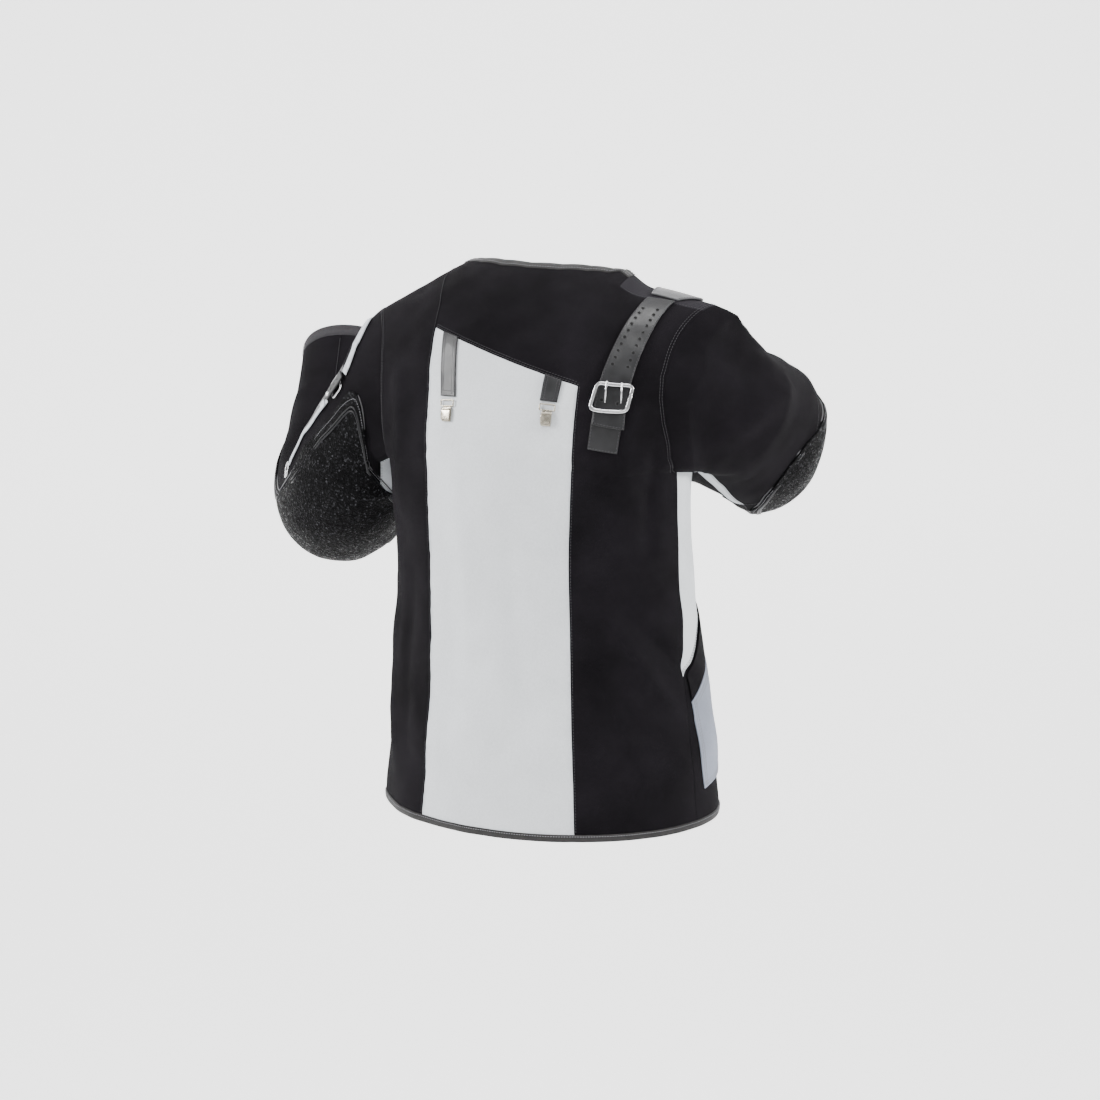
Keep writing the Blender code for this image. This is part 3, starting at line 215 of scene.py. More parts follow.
@dataclass
class Trunk:
    """The trunk's surface and the grid of its panels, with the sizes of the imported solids."""

    chest_z: float = -0.240
    hem_z: float = -0.667
    hem_dip: float = 0.008
    neck_half_width: float = 0.098
    neck_band: float = 0.0030
    neck_back_drop: float = 0.205
    neck_front_drop: float = 0.60
    yoke_row: float = 1.38
    lower_front_row: float = 0.425
    hem_row: float = 0.02
    panel_top_left_z: float = -0.078
    panel_top_right_z: float = -0.138
    left_columns: int = 6
    neck_columns: int = 8
    side_columns: int = 7
    steps: int = 7
    sections: Table = (
        (-0.678, 0.2145, 0.1540, 0.000, 78.0),
        (-0.640, 0.2120, 0.1520, 0.000, 77.0),
        (-0.580, 0.2065, 0.1480, 0.002, 76.5),
        (-0.520, 0.2000, 0.1430, 0.006, 77.0),
        (-0.460, 0.1935, 0.1385, 0.010, 79.5),
        (-0.400, 0.1880, 0.1350, 0.015, 81.5),
        (-0.340, 0.1870, 0.1335, 0.021, 81.5),
        (-0.290, 0.1885, 0.1305, 0.027, 81.0),
        (-0.240, 0.1900, 0.1280, 0.031, 80.0),
    )
    armhole_back: Table = (
        (1.00, 0.1871, 80.0),
        (1.015, 0.1872, 75.0),
        (1.06, 0.1876, 71.0),
        (1.12, 0.1880, 68.5),
        (1.22, 0.1850, 62.5),
        (1.33, 0.1840, 58.0),
        (1.60, 0.1950, 57.0),
        (1.80, 0.2100, 58.0),
        (2.00, 0.2220, 58.0),
    )
    armhole_front: Table = (
        (1.00, 0.1871, 100.0),
        (1.015, 0.1872, 94.5),
        (1.06, 0.1866, 86.0),
        (1.12, 0.1850, 77.0),
        (1.22, 0.1800, 66.0),
        (1.33, 0.1780, 60.0),
        (1.60, 0.1900, 58.0),
        (1.80, 0.2070, 58.0),
        (2.00, 0.2220, 58.0),
    )
    ridge: Table = (
        (-0.222, -0.050, 0.0175),
        (-0.160, -0.0365, 0.0090),
        (-0.126, -0.0285, 0.0040),
        (-0.098, -0.011, 0.0000),
        (0.000, 0.010, 0.0000),
        (0.098, -0.001, 0.0000),
        (0.160, -0.033, 0.0090),
        (0.226, -0.068, 0.0175),
    )
    left_seam: Table = ((0.0, 0.110), (0.40, 0.098), (0.75, 0.0935), (1.0, 0.0930),
                        (1.3, 0.0965), (1.5, 0.100), (1.75, 0.114), (2.0, 0.119))
    right_seam: Table = ((0.0, -0.0955), (0.40, -0.089), (0.75, -0.088), (1.0, -0.093),
                         (1.29, -0.0954), (1.6, -0.096), (2.0, -0.098))
    neck_left_outer: Table = ((0.0, 0.078), (1.0, 0.076), (1.5, 0.092), (1.8, 0.107), (2.0, 0.1085))
    neck_left: Table = ((0.0, 0.052), (1.0, 0.050), (1.5, 0.075), (1.8, 0.093), (2.0, 0.098))
    neck_right_outer: Table = ((0.0, -0.120), (1.0, -0.114), (1.5, -0.112), (1.8, -0.110), (2.0, -0.1085))
    lower_front_edge: Table = ((0.0, 0.66), (45.0, 0.64), (72.0, 0.57), (86.5, 0.495), (100.0, 0.425))
    rows: tuple[float, ...] = (0.0, 0.02, 0.11, 0.195, 0.31, 0.425, 0.50, 0.59, 0.68, 0.79, 0.90,
                               1.0, 1.015, 1.06, 1.12, 1.20, 1.29, 1.38, 1.50, 1.62, 1.73, 1.83, 1.94, 2.0)
    creases: dict[Half, tuple[Crease, ...]] = field(default_factory=dict)
    still: tuple[tuple[float, float], ...] = ((0.0625, 1.168), (-0.0642, 1.172))
    still_reach: float = 0.024
    crease_depth: float = 1.5
    swells: Table = ((0.0013, 0.115, 1.3), (0.0005, 0.043, 2.1))
    seam_pucker: Table = ((0.0005, 0.017, 4.4),)
    seam_sink: float = 0.0004
    seam_reach: float = 0.006

    def edge_table(self, half: Half) -> Table:
        """Returns the armhole's table of one half."""
        return self.armhole_back if half is Half.BACK else self.armhole_front

    def half_width(self, half: Half, level: Array) -> Array:
        """Returns the half width of the section at each level.

        Args:
            half: back or front.
            level: 0 at the hem, 1 at the chest, 2 on the shoulders.

        Returns:
            Half widths in metres.
        """
        edge = self.edge_table(half)
        bottom = self.hem_z - self.hem_dip
        z = bottom + (self.chest_z - bottom) * np.clip(level, 0, 1)
        low = read(self.sections, z, 1)
        x = read(edge, level, 1)
        angle = np.radians(read(edge, level, 2))
        return np.where(np.asarray(level) > 1, x / np.sin(angle), low)

    def edge_angle(self, half: Half, level: Array) -> Array:
        """Returns the angle of the side seam or armhole edge at each level.

        Args:
            half: back or front.
            level: levels.

        Returns:
            Angles in degrees from the half's middle.
        """
        edge = self.edge_table(half)
        bottom = self.hem_z - self.hem_dip
        z = bottom + (self.chest_z - bottom) * np.clip(level, 0, 1)
        seam = read(self.sections, z, 4)
        if half is Half.FRONT:
            seam = 180 - seam
        return np.where(np.asarray(level) > 1, read(edge, level, 2), seam)

    def point(self, half: Half, angle: Array, level: Array) -> Array:
        """Returns points of the smooth surface.

        Sections are half ellipses x = -w sin(a), y = m + d cos(a). Above the chest each upright line is
        a quarter ellipse with the turn t = 90 (level - 1) degrees that ends on the shoulder ridge.

        Args:
            half: back or front.
            angle: degrees from the half's middle, positive towards the wearer's right.
            level: 0 at the hem, 1 at the chest, 2 on the shoulders.

        Returns:
            Points with X, Y, Z on the last axis.
        """
        angle = np.radians(np.asarray(angle, float))
        level = np.asarray(level, float)
        low = np.clip(level, 0, 1)
        turn = np.radians(90 * np.clip(level - 1, 0, 1))
        bottom = self.hem_z - self.hem_dip
        z_mean = bottom + (self.chest_z - bottom) * low
        depth = read(self.sections, z_mean, 2)
        middle = read(self.sections, z_mean, 3)
        x = -self.half_width(half, level) * np.sin(angle)
        ridge_z = read(self.ridge, x, 1)
        ridge_y = read(self.ridge, x, 2)
        y = (middle + half.value * depth * np.cos(angle)) * np.cos(turn) + ridge_y * (1 - np.cos(turn))
        hem = self.hem_z - self.hem_dip * half.value * np.cos(angle)
        z = hem + (self.chest_z - hem) * low + (ridge_z - self.chest_z) * np.sin(turn)
        return np.stack([x, y, z], axis=-1)

    def angle_of(self, half: Half, x: Array, level: Array) -> Array:
        """Returns the angle of a place across at a level."""
        return -np.degrees(np.arcsin(np.clip(np.asarray(x) / self.half_width(half, level), -1, 1)))

    def level_of(self, x: Array, z: Array) -> Array:
        """Returns the level of a place across and a height.

        Args:
            x: distances across.
            z: heights.

        Returns:
            Levels.
        """
        x = np.asarray(x, float)
        z = np.asarray(z, float)
        ridge_z = read(self.ridge, x, 1)
        high = 1 + np.degrees(np.arcsin(np.clip((z - self.chest_z) / (ridge_z - self.chest_z), 0, 1))) / 90
        return np.where(z > self.chest_z, high, np.clip((z - self.hem_z) / (self.chest_z - self.hem_z), 0, 1))

    def outward(self, half: Half, angle: Array, level: Array) -> Array:
        """Returns the surface's outward direction, from small steps along it.

        Args:
            half: back or front.
            angle: degrees.
            level: levels.

        Returns:
            Unit vectors.
        """
        angle, level = np.broadcast_arrays(np.asarray(angle, float), np.asarray(level, float))
        across = self.point(half, angle + 0.4, level) - self.point(half, angle - 0.4, level)
        up = self.point(half, angle, np.clip(level + 0.004, 0, 1.995)) \
            - self.point(half, angle, np.clip(level - 0.004, 0, 1.985))
        return unit(np.cross(across, up) * half.value)

    def relief(self, half: Half, angle: Array, level: Array, base: Array) -> Array:
        """Returns how far the cloth's folds lift it, fading out at the armholes and the neck.

        Args:
            half: back or front.
            angle: degrees.
            level: levels.
            base: the smooth surface's points.

        Returns:
            Heights in metres.
        """
        flat = base.reshape(-1, 3)
        total = np.zeros(len(flat))
        for side_of, creases in self.creases.items():
            for crease in creases:
                x, z = crease.marks()
                level_at = self.level_of(x, z)
                line = self.point(side_of, self.angle_of(side_of, x, level_at), level_at)
                total += self.crease_depth * crease.relief(flat, line)
        total += swelling(flat, self.swells)
        for x, clip in self.still if half is Half.BACK else ():
            height = np.array([clip])
            middle = self.point(half, self.angle_of(half, np.array([x]), height), height)
            total *= 1 - np.exp(-(np.linalg.norm(flat - middle, axis=1) / self.still_reach) ** 4)
        total = total.reshape(base.shape[:-1])
        side = np.abs(self.edge_angle(half, level)) - np.abs(angle)
        at_armhole = 1 - (1 - ramp(side, 0, 9)) * ramp(level, 0.93, 1.0)
        at_neck = 1 - 0.8 * ramp(level, 1.75, 1.95)
        if half is Half.BACK:
            for table in (self.left_seam, self.right_seam):
                place = read(table, level, 1)
                away = base[..., 0] - place
                near = np.exp(-(away / self.seam_reach) ** 2) * ramp(1.42 - level, 0, 0.1)
                total += near * (swelling(base, self.seam_pucker) - self.seam_sink)
        return total * at_armhole * at_neck

    def lifted(self, half: Half, angle: Array, level: Array,
               lift: float | Array = 0.0) -> tuple[Array, Array]:
        """Returns points on the folded cloth, moved out by a lift, and their outward directions.

        Args:
            half: back or front.
            angle: degrees.
            level: levels.
            lift: extra distance off the cloth's middle.

        Returns:
            Points and unit vectors.
        """
        angle, level = np.broadcast_arrays(np.asarray(angle, float), np.asarray(level, float))
        base = self.point(half, angle, level)
        out = self.outward(half, angle, level)
        rise = self.relief(half, angle, level, base) + lift
        return base + out * rise[..., None], out

    def column_levels(self, top: Array, edge: Array, lower: Array) -> Array:
        """Returns each row's level in each column, so that rows follow the neck, yoke and lower edges."""
        knots = (0, self.hem_row, self.lower_front_row, 1, self.yoke_row, 2)
        return np.stack([np.interp(self.rows, knots, (0, self.hem_row, lo, 1, ed, to))
                         for to, ed, lo in zip(top, edge, lower)], axis=1)

    def neck_levels(self, drop: float) -> Array:
        """Returns the top level of each column."""
        neck = 2 - drop * np.sin(np.pi * np.arange(self.neck_columns + 1) / self.neck_columns)
        shoulder = np.full(self.side_columns + 1, 2.0)
        return np.concatenate([shoulder, neck, shoulder])

    def neck_widths(self) -> Array:
        """Returns half the neck's width at each row."""
        return self.neck_half_width + np.where(np.array(self.rows) < 2, self.neck_band, 0.0)

    def spread(self, start: Array, end: Array, count: int) -> Array:
        """Returns count evenly spaced columns from start to end, without the last."""
        steps = np.arange(count) / count
        return start[:, None] * (1 - steps) + end[:, None] * steps

    def back_table(self) -> tuple[Array, Array]:
        """Returns the back's grid.

        Returns:
            Angles and levels, rows from the hem up, columns from the wearer's left.
        """
        rows = np.array(self.rows)
        left = read(self.left_seam, rows, 1)
        right = read(self.right_seam, rows, 1)
        steps = np.arange(self.neck_columns) / self.neck_columns
        low = read(self.neck_left, rows, 1)[:, None] * (1 - steps) + right[:, None] * steps
        high = self.neck_widths()[:, None] * np.cos(np.pi * steps)
        share = np.clip((rows[:, None] - 1.2) / 0.8, 0, 1) ** 1.5
        places = low * (1 - share) + high * share
        top = self.neck_levels(self.neck_back_drop)
        count = len(top)
        edge = np.full(count, self.yoke_row)
        first = self.left_columns
        last = count - 1 - self.side_columns - 1
        yoke = self.rows.index(self.yoke_row)
        x_row = np.concatenate([[left[yoke]], [read(self.neck_left_outer, self.yoke_row, 1)],
                                places[yoke], [right[yoke]]])
        z_row = np.interp(-x_row, (-x_row[0], -x_row[-1]), (self.panel_top_left_z, self.panel_top_right_z))
        ridge_z = read(self.ridge, x_row, 1)
        rise = (z_row - self.chest_z) / (ridge_z - self.chest_z)
        edge[first:last + 1] = 1 + np.degrees(np.arcsin(rise)) / 90
        edge[:first] = np.linspace(self.yoke_row, edge[first], first + 1)[:-1]
        edge[last + 1:] = np.linspace(edge[last], self.yoke_row, count - last)[1:]
        levels = self.column_levels(top, edge, np.full(count, self.lower_front_row))
        side = self.edge_angle(Half.BACK, rows)
        angles = np.empty_like(levels)
        angles[:, :first] = self.spread(-side, self.angle_of(Half.BACK, left, levels[:, first]), first)
        angles[:, first] = self.angle_of(Half.BACK, left, levels[:, first])
        outer = read(self.neck_left_outer, rows, 1)
        angles[:, first + 1] = self.angle_of(Half.BACK, outer, levels[:, first + 1])
        angles[:, first + 2:last] = self.angle_of(Half.BACK, places, levels[:, first + 2:last])
        angles[:, last] = self.angle_of(Half.BACK, right, levels[:, last])
        outer = self.angle_of(Half.BACK, read(self.neck_right_outer, rows, 1), levels[:, last + 1])
        angles[:, last + 1:-1] = self.spread(outer, side, self.side_columns)
        angles[:, -1] = side
        return angles, levels

    def front_table(self, shoulder_angles: Array) -> tuple[Array, Array]:
        """Returns the front's grid, whose columns meet the back's on the ridge.

        Args:
            shoulder_angles: the back's angles on its top row.

        Returns:
            Angles and levels.
        """
        rows = np.array(self.rows)
        top = self.neck_levels(self.neck_front_drop)
        side = self.edge_angle(Half.FRONT, rows)
        share = np.clip((rows - 1.1) / 0.9, 0, 1)[:, None]
        low = np.concatenate([self.spread(-side, -side * 0.45, self.side_columns),
                              self.spread(-side * 0.45, -side * 0.38, 1),
                              self.spread(-side * 0.38, side * 0.38, self.neck_columns),
                              self.spread(side * 0.38, side * 0.45, 1),
                              self.spread(side * 0.45, side, self.side_columns), side[:, None]], axis=1)
        lower = read(self.lower_front_edge, np.abs(low[5]), 1)
        levels = self.column_levels(top, 1 + (self.yoke_row - 1) * (top - 1), lower)
        towards_side = np.abs(low) / side[:, None]
        high = np.sign(low) * np.abs(shoulder_angles) * (1 + towards_side * ((side / side[-1])[:, None] - 1))
        first = self.side_columns + 1
        across = np.cos(np.pi * np.arange(self.neck_columns + 1) / self.neck_columns)
        neck = slice(first, first + self.neck_columns + 1)
        high[:, neck] = self.angle_of(Half.FRONT, self.neck_widths()[:, None] * across, levels[:, neck])
        angles = low * (1 - share) + high * share
        angles[:, 0] = -side
        angles[:, -1] = side
        return angles, levels


def bent_path(start: Array, corner: Array, end: Array, radius: float, way: Array) -> tuple[Array, ...]:
    """Returns centres, tangents and bend frames along a straight, a round bend and a straight.

    Args:
        start: the first point.
        corner: where the two straights would meet.
        end: the last point.
        radius: the bend's radius.
        way: 0 to 1 by length.

    Returns:
        Centres, tangents, directions to the bend's outside, and the direction square to the bend.
    """
    start, corner, end = (np.asarray(point, float) for point in (start, corner, end))
    first, last = unit(corner - start), unit(end - corner)
    turn = math.acos(float(first @ last))
    reach = radius * math.tan(turn / 2)
    across = unit(np.cross(first, last))
    inward = np.cross(across, first)
    lengths = np.array([np.linalg.norm(corner - start) - reach, radius * turn,
                        np.linalg.norm(end - corner) - reach])
    distance = np.asarray(way, float) * lengths.sum()
    bend = np.clip((distance - lengths[0]) / radius, 0, turn)[..., None]
    before = np.minimum(distance, lengths[0])[..., None]
    after = np.maximum(distance - lengths[0] - lengths[1], 0)[..., None]
    on_bend = (start + first * lengths[0] + inward * radius * (1 - np.cos(bend))
               + first * radius * np.sin(bend))
    centre = on_bend - first * (lengths[0] - before) + last * after
    tangent = first * np.cos(bend) + inward * np.sin(bend)
    outward = -inward * np.cos(bend) + first * np.sin(bend)
    return centre, tangent, outward, across


@dataclass
class SleeveForm:
    """The surface of one sleeve, from its armhole to its cuff."""

    side: Side
    armhole: Array
    start: Array
    corner: tuple[float, float, float]
    cuff: tuple[float, float, float]
    bend: float = 0.066
    round_from: float = 0.27
    puff: float = 0.018
    puff_by: float = 0.05
    sections: Table = (
        (0.00, 0.078, 0.078, 0.076),
        (0.20, 0.082, 0.070, 0.077),
        (0.40, 0.088, 0.054, 0.080),
        (0.60, 0.086, 0.052, 0.077),
        (0.80, 0.068, 0.060, 0.066),
        (1.00, 0.060, 0.060, 0.060),
    )
    creases: tuple[Crease, ...] = ()
    swells: Table = ((0.0010, 0.085, 0.7), (0.0004, 0.037, 3.1))

    def __post_init__(self) -> None:
        """Works out where each point of the armhole lies round the sleeve."""
        self.armhole = np.vstack([self.armhole, self.armhole[:1]])
        _, _, outward, across = bent_path(self.start, self.corner, self.cuff, self.bend, np.zeros(1))
        spokes = self.armhole - self.start
        turn = np.unwrap(np.arctan2(spokes @ across, spokes @ outward[0]))
        self.armhole_turn = turn
        half = (len(self.armhole) - 1) // 2
        self.sense = 1.0 if turn[half] > turn[0] else -1.0
        steps = np.arange(half + 1) / half
        first = turn[0] + (turn[half] - turn[0]) * steps
        second = turn[half] + (turn[0] + self.sense * 2 * math.pi - turn[half]) * steps
        self.even_turn = np.concatenate([first, second[1:]])

    def centre(self, way: Array) -> Array:
        """Returns the sleeve's middle line."""
        return bent_path(self.start, self.corner, self.cuff, self.bend, way)[0]

    def base(self, way: Array, turn: Array) -> Array:
        """Returns points of the smooth sleeve: an egg-shaped section carried along the bent path.

        Args:
            way: 0 at the armhole, 1 at the cuff.
            turn: radians round it, 0 at the elbow's outside.

        Returns:
            Points.
        """
        way, turn = np.broadcast_arrays(np.asarray(way, float), np.asarray(turn, float))
        lap = np.mod((turn - self.even_turn[0]) * self.sense, 2 * math.pi)
        number = np.arange(len(self.even_turn))
        place = np.interp(lap, (self.even_turn - self.even_turn[0]) * self.sense, number)
        edge = np.stack([np.interp(place, number, self.armhole[:, axis]) for axis in range(3)], axis=-1)
        edge_turn = np.interp(place, number, self.armhole_turn)
        even = np.interp(place, number, self.even_turn)
        share = ramp_share(way / self.round_from)
        centre, _, outward, across = bent_path(self.start, self.corner, self.cuff, self.bend, way)
        push = self.puff * np.sign(self.start[0]) * np.clip(way / self.puff_by, 0, 1)
        carried = edge + centre - self.start + push[..., None] * np.array((1.0, 0.0, 0.0))
        angle = edge_turn * (1 - share) + even * share
        stations = column(self.sections, 0)
        size_out = np.where(np.cos(angle) > 0, smooth_between(way, stations, column(self.sections, 1)),
                            smooth_between(way, stations, column(self.sections, 2)))
        size_across = smooth_between(way, stations, column(self.sections, 3))
        rounded = centre + outward * (size_out * np.cos(angle))[..., None] \
            + across * (size_across * np.sin(angle))[..., None]
        return carried * (1 - share[..., None]) + rounded * share[..., None]

    def lifted(self, way: Array, turn: Array, lift: float | Array = 0.0) -> tuple[Array, Array]:
        """Returns points on the folded sleeve, moved out, and their outward directions.

        Args:
            way: 0 to 1.
            turn: radians.
            lift: extra distance off the cloth's middle.

        Returns:
            Points and unit vectors.
        """
        way, turn = np.broadcast_arrays(np.asarray(way, float), np.asarray(turn, float))
        base = self.base(way, turn)
        along = self.base(np.clip(way + 0.004, 0, 1), turn) - self.base(np.clip(way - 0.004, 0, 1), turn)
        round_it = self.base(way, turn + 0.03) - self.base(way, turn - 0.03)
        out = unit(np.cross(round_it, along))
        out *= np.sign(np.sum(out * (base - self.centre(way)), axis=-1, keepdims=True))
        flat = base.reshape(-1, 3)
        total = swelling(flat, self.swells)
        for crease in self.creases:
            ways, turns = crease.marks()
            total += crease.relief(flat, self.base(ways, np.radians(turns)))
        fade = ramp(way, 0.0, 0.09) * (1 - 0.7 * ramp(way, 0.93, 0.98))
        return base + out * (total.reshape(base.shape[:-1]) * fade + lift)[..., None], out


def ramp_share(value: Array) -> Array:
    """Returns how far the sleeve's section has become round."""
    return smooth_between(value, (0, 0.5, 1), (0, 0.5, 1))


class Shader:
    """A Principled material under construction, with short ways to add and join nodes."""

    def __init__(self, name: str, colour: tuple[float, float, float], roughness: float, metallic: float = 0.0,
                 specular: float = 0.5, sheen: float = 0.0, coat: float = 0.0) -> None:
        """Starts the material.

        Args:
            name: the material's name.
            colour: linear base colour.
            roughness: 0 to 1.
            metallic: 0 or 1.
            specular: specular level, a constant.
            sheen: sheen weight, a constant.
            coat: coat weight, a constant.
        """
        self.material = bpy.data.materials.new(name)
        self.material.use_nodes = True
        self.tree = self.material.node_tree
        self.shader = self.tree.nodes["Principled BSDF"]
        self.shader.inputs["Base Color"].default_value = (*colour, 1)
        self.shader.inputs["Roughness"].default_value = roughness
        self.shader.inputs["Metallic"].default_value = metallic
        self.shader.inputs["Specular IOR Level"].default_value = specular
        self.shader.inputs["Sheen Weight"].default_value = sheen
        self.shader.inputs["Coat Weight"].default_value = coat
        self.material.diffuse_color = (*colour, 1)

    def node(self, kind: str, **settings: object) -> bpy.types.Node:
        """Adds a node.

        Args:
            kind: the node's type name without the word ShaderNode.
            settings: its properties, or its input sockets by name.

        Returns:
            The node.
        """
        made = self.tree.nodes.new("ShaderNode" + kind)
        for key, value in settings.items():
            if hasattr(made, key):
                setattr(made, key, value)
            else:
                made.inputs[key.replace("_", " ")].default_value = value
        return made

    def join(self, source: object, target: object) -> None:
        """Joins two sockets."""
        self.tree.links.new(source, target)

    def places(self, uv: bool) -> object:
        """Returns the socket that a pattern reads its place from."""
        if uv:
            return self.node("UVMap", uv_map="metres").outputs["UV"]
        return self.node("TexCoord").outputs["Object"]

    def noise(self, where: object, scale: float, detail: float = 2.0) -> object:
        """Adds a noise pattern."""
        made = self.node("TexNoise", Scale=scale, Detail=detail)
        self.join(where, made.inputs["Vector"])
        return made.outputs["Fac"]

    def ramp(self, factor: object, stops: tuple[tuple[float, tuple[float, float, float]], ...]) -> object:
        """Adds a colour ramp.

        Args:
            factor: the socket that it reads.
            stops: places and linear colours.

        Returns:
            The colour socket.
        """
        made = self.node("ValToRGB")
        ramp_data = made.color_ramp
        while len(ramp_data.elements) < len(stops):
            ramp_data.elements.new(0.5)
        for element, (place, colour) in zip(ramp_data.elements, stops):
            element.position = place
            element.color = (*colour, 1)
        self.join(factor, made.inputs["Fac"])
        return made.outputs["Color"]

    def math(self, operation: str, first: object, second: object = 0.0) -> object:
        """Adds a sum of two values.

        Args:
            operation: the node's operation.
            first: a socket or number.
            second: a socket or number.

        Returns:
            The value socket.
        """
        made = self.node("Math", operation=operation)
        for value, socket in ((first, made.inputs[0]), (second, made.inputs[1])):
            if isinstance(value, (int, float)):
                socket.default_value = value
            else:
                self.join(value, socket)
        return made.outputs["Value"]

    def bump(self, height: object, distance: float, strength: float = 1.0) -> None:
        """Adds a bump to the shader's normal, on top of any before it.

        Args:
            height: the pattern's socket.
            distance: its height in metres.
            strength: 0 to 1.
        """
        made = self.node("Bump", Distance=distance, Strength=strength)
        self.join(height, made.inputs["Height"])
        links = self.shader.inputs["Normal"].links
        if links:
            self.join(links[0].from_socket, made.inputs["Normal"])
        self.join(made.outputs["Normal"], self.shader.inputs["Normal"])


def mixed(colour: tuple[float, float, float], factor: float) -> tuple[float, float, float]:
    """Returns a lighter or darker colour."""
    return tuple(min(1.0, part * factor) for part in colour)


@dataclass(frozen=True)
class CanvasFinish:
    """Woven canvas: a plain weave in the piece's own map, with soft mottling."""

    name: str
    colour: tuple[float, float, float]
    roughness: float = 0.85
    thread: float = 0.0011
    height: float = 0.00022
    mottle: float = 0.10
    sheen: float = 0.0
    shine: float = 0.02

    def build(self) -> bpy.types.Material:
        """Makes the material.

        Returns:
            The material.
        """
        shader = Shader(self.name, self.colour, self.roughness, specular=self.shine, sheen=self.sheen)
        shader.shader.inputs["Sheen Roughness"].default_value = 0.5
        where = shader.places(uv=True)
        parts = shader.node("SeparateXYZ")
        shader.join(where, parts.inputs["Vector"])
        waves = []
        for axis in ("X", "Y"):
            scaled = shader.math("MULTIPLY", parts.outputs[axis], 2 * math.pi / self.thread)
            waves.append(shader.math("SINE", scaled))
        weave = shader.math("MULTIPLY", waves[0], waves[1])
        soft = shader.noise(shader.places(uv=False), 14.0, 4.0)
        fine = shader.noise(shader.places(uv=False), 420.0, 2.0)
        low, high = mixed(self.colour, 1 - self.mottle), mixed(self.colour, 1 + self.mottle)
        base = shader.ramp(soft, ((0.3, low), (0.7, high)))
        mix = shader.node("MixRGB", blend_type="MULTIPLY", Fac=0.35)
        shader.join(base, mix.inputs["Color1"])
        shader.join(shader.ramp(shader.math("ADD", shader.math("MULTIPLY", weave, 0.25), fine),
                                ((0.25, (0.62, 0.62, 0.62)), (0.8, (1.0, 1.0, 1.0)))), mix.inputs["Color2"])
        shader.join(mix.outputs["Color"], shader.shader.inputs["Base Color"])
        shader.bump(weave, self.height)
        shader.bump(fine, 0.0004, 0.5)
        return shader.material


@dataclass(frozen=True)
class TapeFinish:
    """Ribbed satin tape: fine ribs across its run."""

    name: str
    colour: tuple[float, float, float]
    roughness: float = 0.5
    rib: float = 0.0009

    def build(self) -> bpy.types.Material:
        """Makes the material.

        Returns:
            The material.
        """
        shader = Shader(self.name, self.colour, self.roughness, specular=0.22, sheen=0.03)
        parts = shader.node("SeparateXYZ")
        shader.join(shader.places(uv=True), parts.inputs["Vector"])
        ribs = shader.math("SINE", shader.math("MULTIPLY", parts.outputs["X"], 2 * math.pi / self.rib))
        shader.bump(ribs, 0.0002)
        shade = shader.noise(shader.places(uv=False), 160.0, 2.0)
        shader.join(shader.ramp(shade, ((0.3, mixed(self.colour, 0.8)), (0.75, mixed(self.colour, 1.25)))),
                    shader.shader.inputs["Base Color"])
        return shader.material


@dataclass(frozen=True)
class RubberFinish:
    """Crumb rubber: packed black grains of uneven tone, with painted glints in the brightest grains' colour.
    """

    name: str
    colour: tuple[float, float, float]
    grains: float = 520.0
    roughness: float = 0.55
    # Colour factors over the grains' random value: the lower stops give uneven grain tone, and the top two
    # stops are painted glints.
    grain_tone_and_painted_glint: Table = ((0.0, 0.6), (0.72, 1.4), (0.93, 5.0), (1.0, 16.0))

    def build(self) -> bpy.types.Material:
        """Makes the material.

        Returns:
            The material.
        """
        shader = Shader(self.name, self.colour, self.roughness, specular=0.03)
        where = shader.places(uv=False)
        cells = shader.node("TexVoronoi", feature="F1", Scale=self.grains)
        shader.join(where, cells.inputs["Vector"])
        parts = shader.node("SeparateColor")
        shader.join(cells.outputs["Color"], parts.inputs["Color"])
        # The brightest grains carry painted glints in their base colour.
        grain_tone_and_painted_glint = tuple((place, mixed(self.colour, factor)) for place, factor in self.grain_tone_and_painted_glint)
        shader.join(shader.ramp(parts.outputs["Red"], grain_tone_and_painted_glint), shader.shader.inputs["Base Color"])
        shine = shader.ramp(parts.outputs["Green"], ((0.0, (0.75, 0.75, 0.75)), (0.8, (0.5, 0.5, 0.5)),
                                                     (1.0, (0.18, 0.18, 0.18))))
        shader.join(shine, shader.shader.inputs["Roughness"])
        shader.bump(cells.outputs["Distance"], 0.0009)
        shader.bump(shader.noise(where, 900.0, 3.0), 0.0006, 0.8)
        return shader.material


@dataclass(frozen=True)
class LeatherFinish:
    """Leather with a fine grain and a soft shine."""

    name: str
    colour: tuple[float, float, float]
    roughness: float = 0.42

    def build(self) -> bpy.types.Material:
        """Makes the material.

        Returns:
            The material.
        """
        shader = Shader(self.name, self.colour, self.roughness, specular=0.35, coat=0.05)
        where = shader.places(uv=False)
        cells = shader.node("TexVoronoi", feature="DISTANCE_TO_EDGE", Scale=950.0)
        shader.join(where, cells.inputs["Vector"])
        shader.bump(cells.outputs["Distance"], 0.0003, 0.6)
        wear = shader.noise(where, 70.0, 5.0)
        shader.join(shader.ramp(wear, ((0.35, mixed(self.colour, 0.8)), (0.75, mixed(self.colour, 1.5)))),
                    shader.shader.inputs["Base Color"])
        shader.join(shader.ramp(wear, ((0.3, (0.34, 0.34, 0.34)), (0.8, (0.52, 0.52, 0.52)))),
                    shader.shader.inputs["Roughness"])
        return shader.material


@dataclass(frozen=True)
class MetalFinish:
    """Polished or plated metal with faint wear."""

    name: str
    colour: tuple[float, float, float]
    roughness: float = 0.22

    def build(self) -> bpy.types.Material:
        """Makes the material.

        Returns:
            The material.
        """
        shader = Shader(self.name, self.colour, self.roughness, metallic=1.0)
        wear = shader.noise(shader.places(uv=False), 240.0, 4.0)
        low, high = self.roughness * 0.8, self.roughness * 1.5
        shader.join(shader.ramp(wear, ((0.35, (low, low, low)), (0.75, (high, high, high)))),
                    shader.shader.inputs["Roughness"])
        shader.bump(wear, 0.00008, 0.4)
        return shader.material


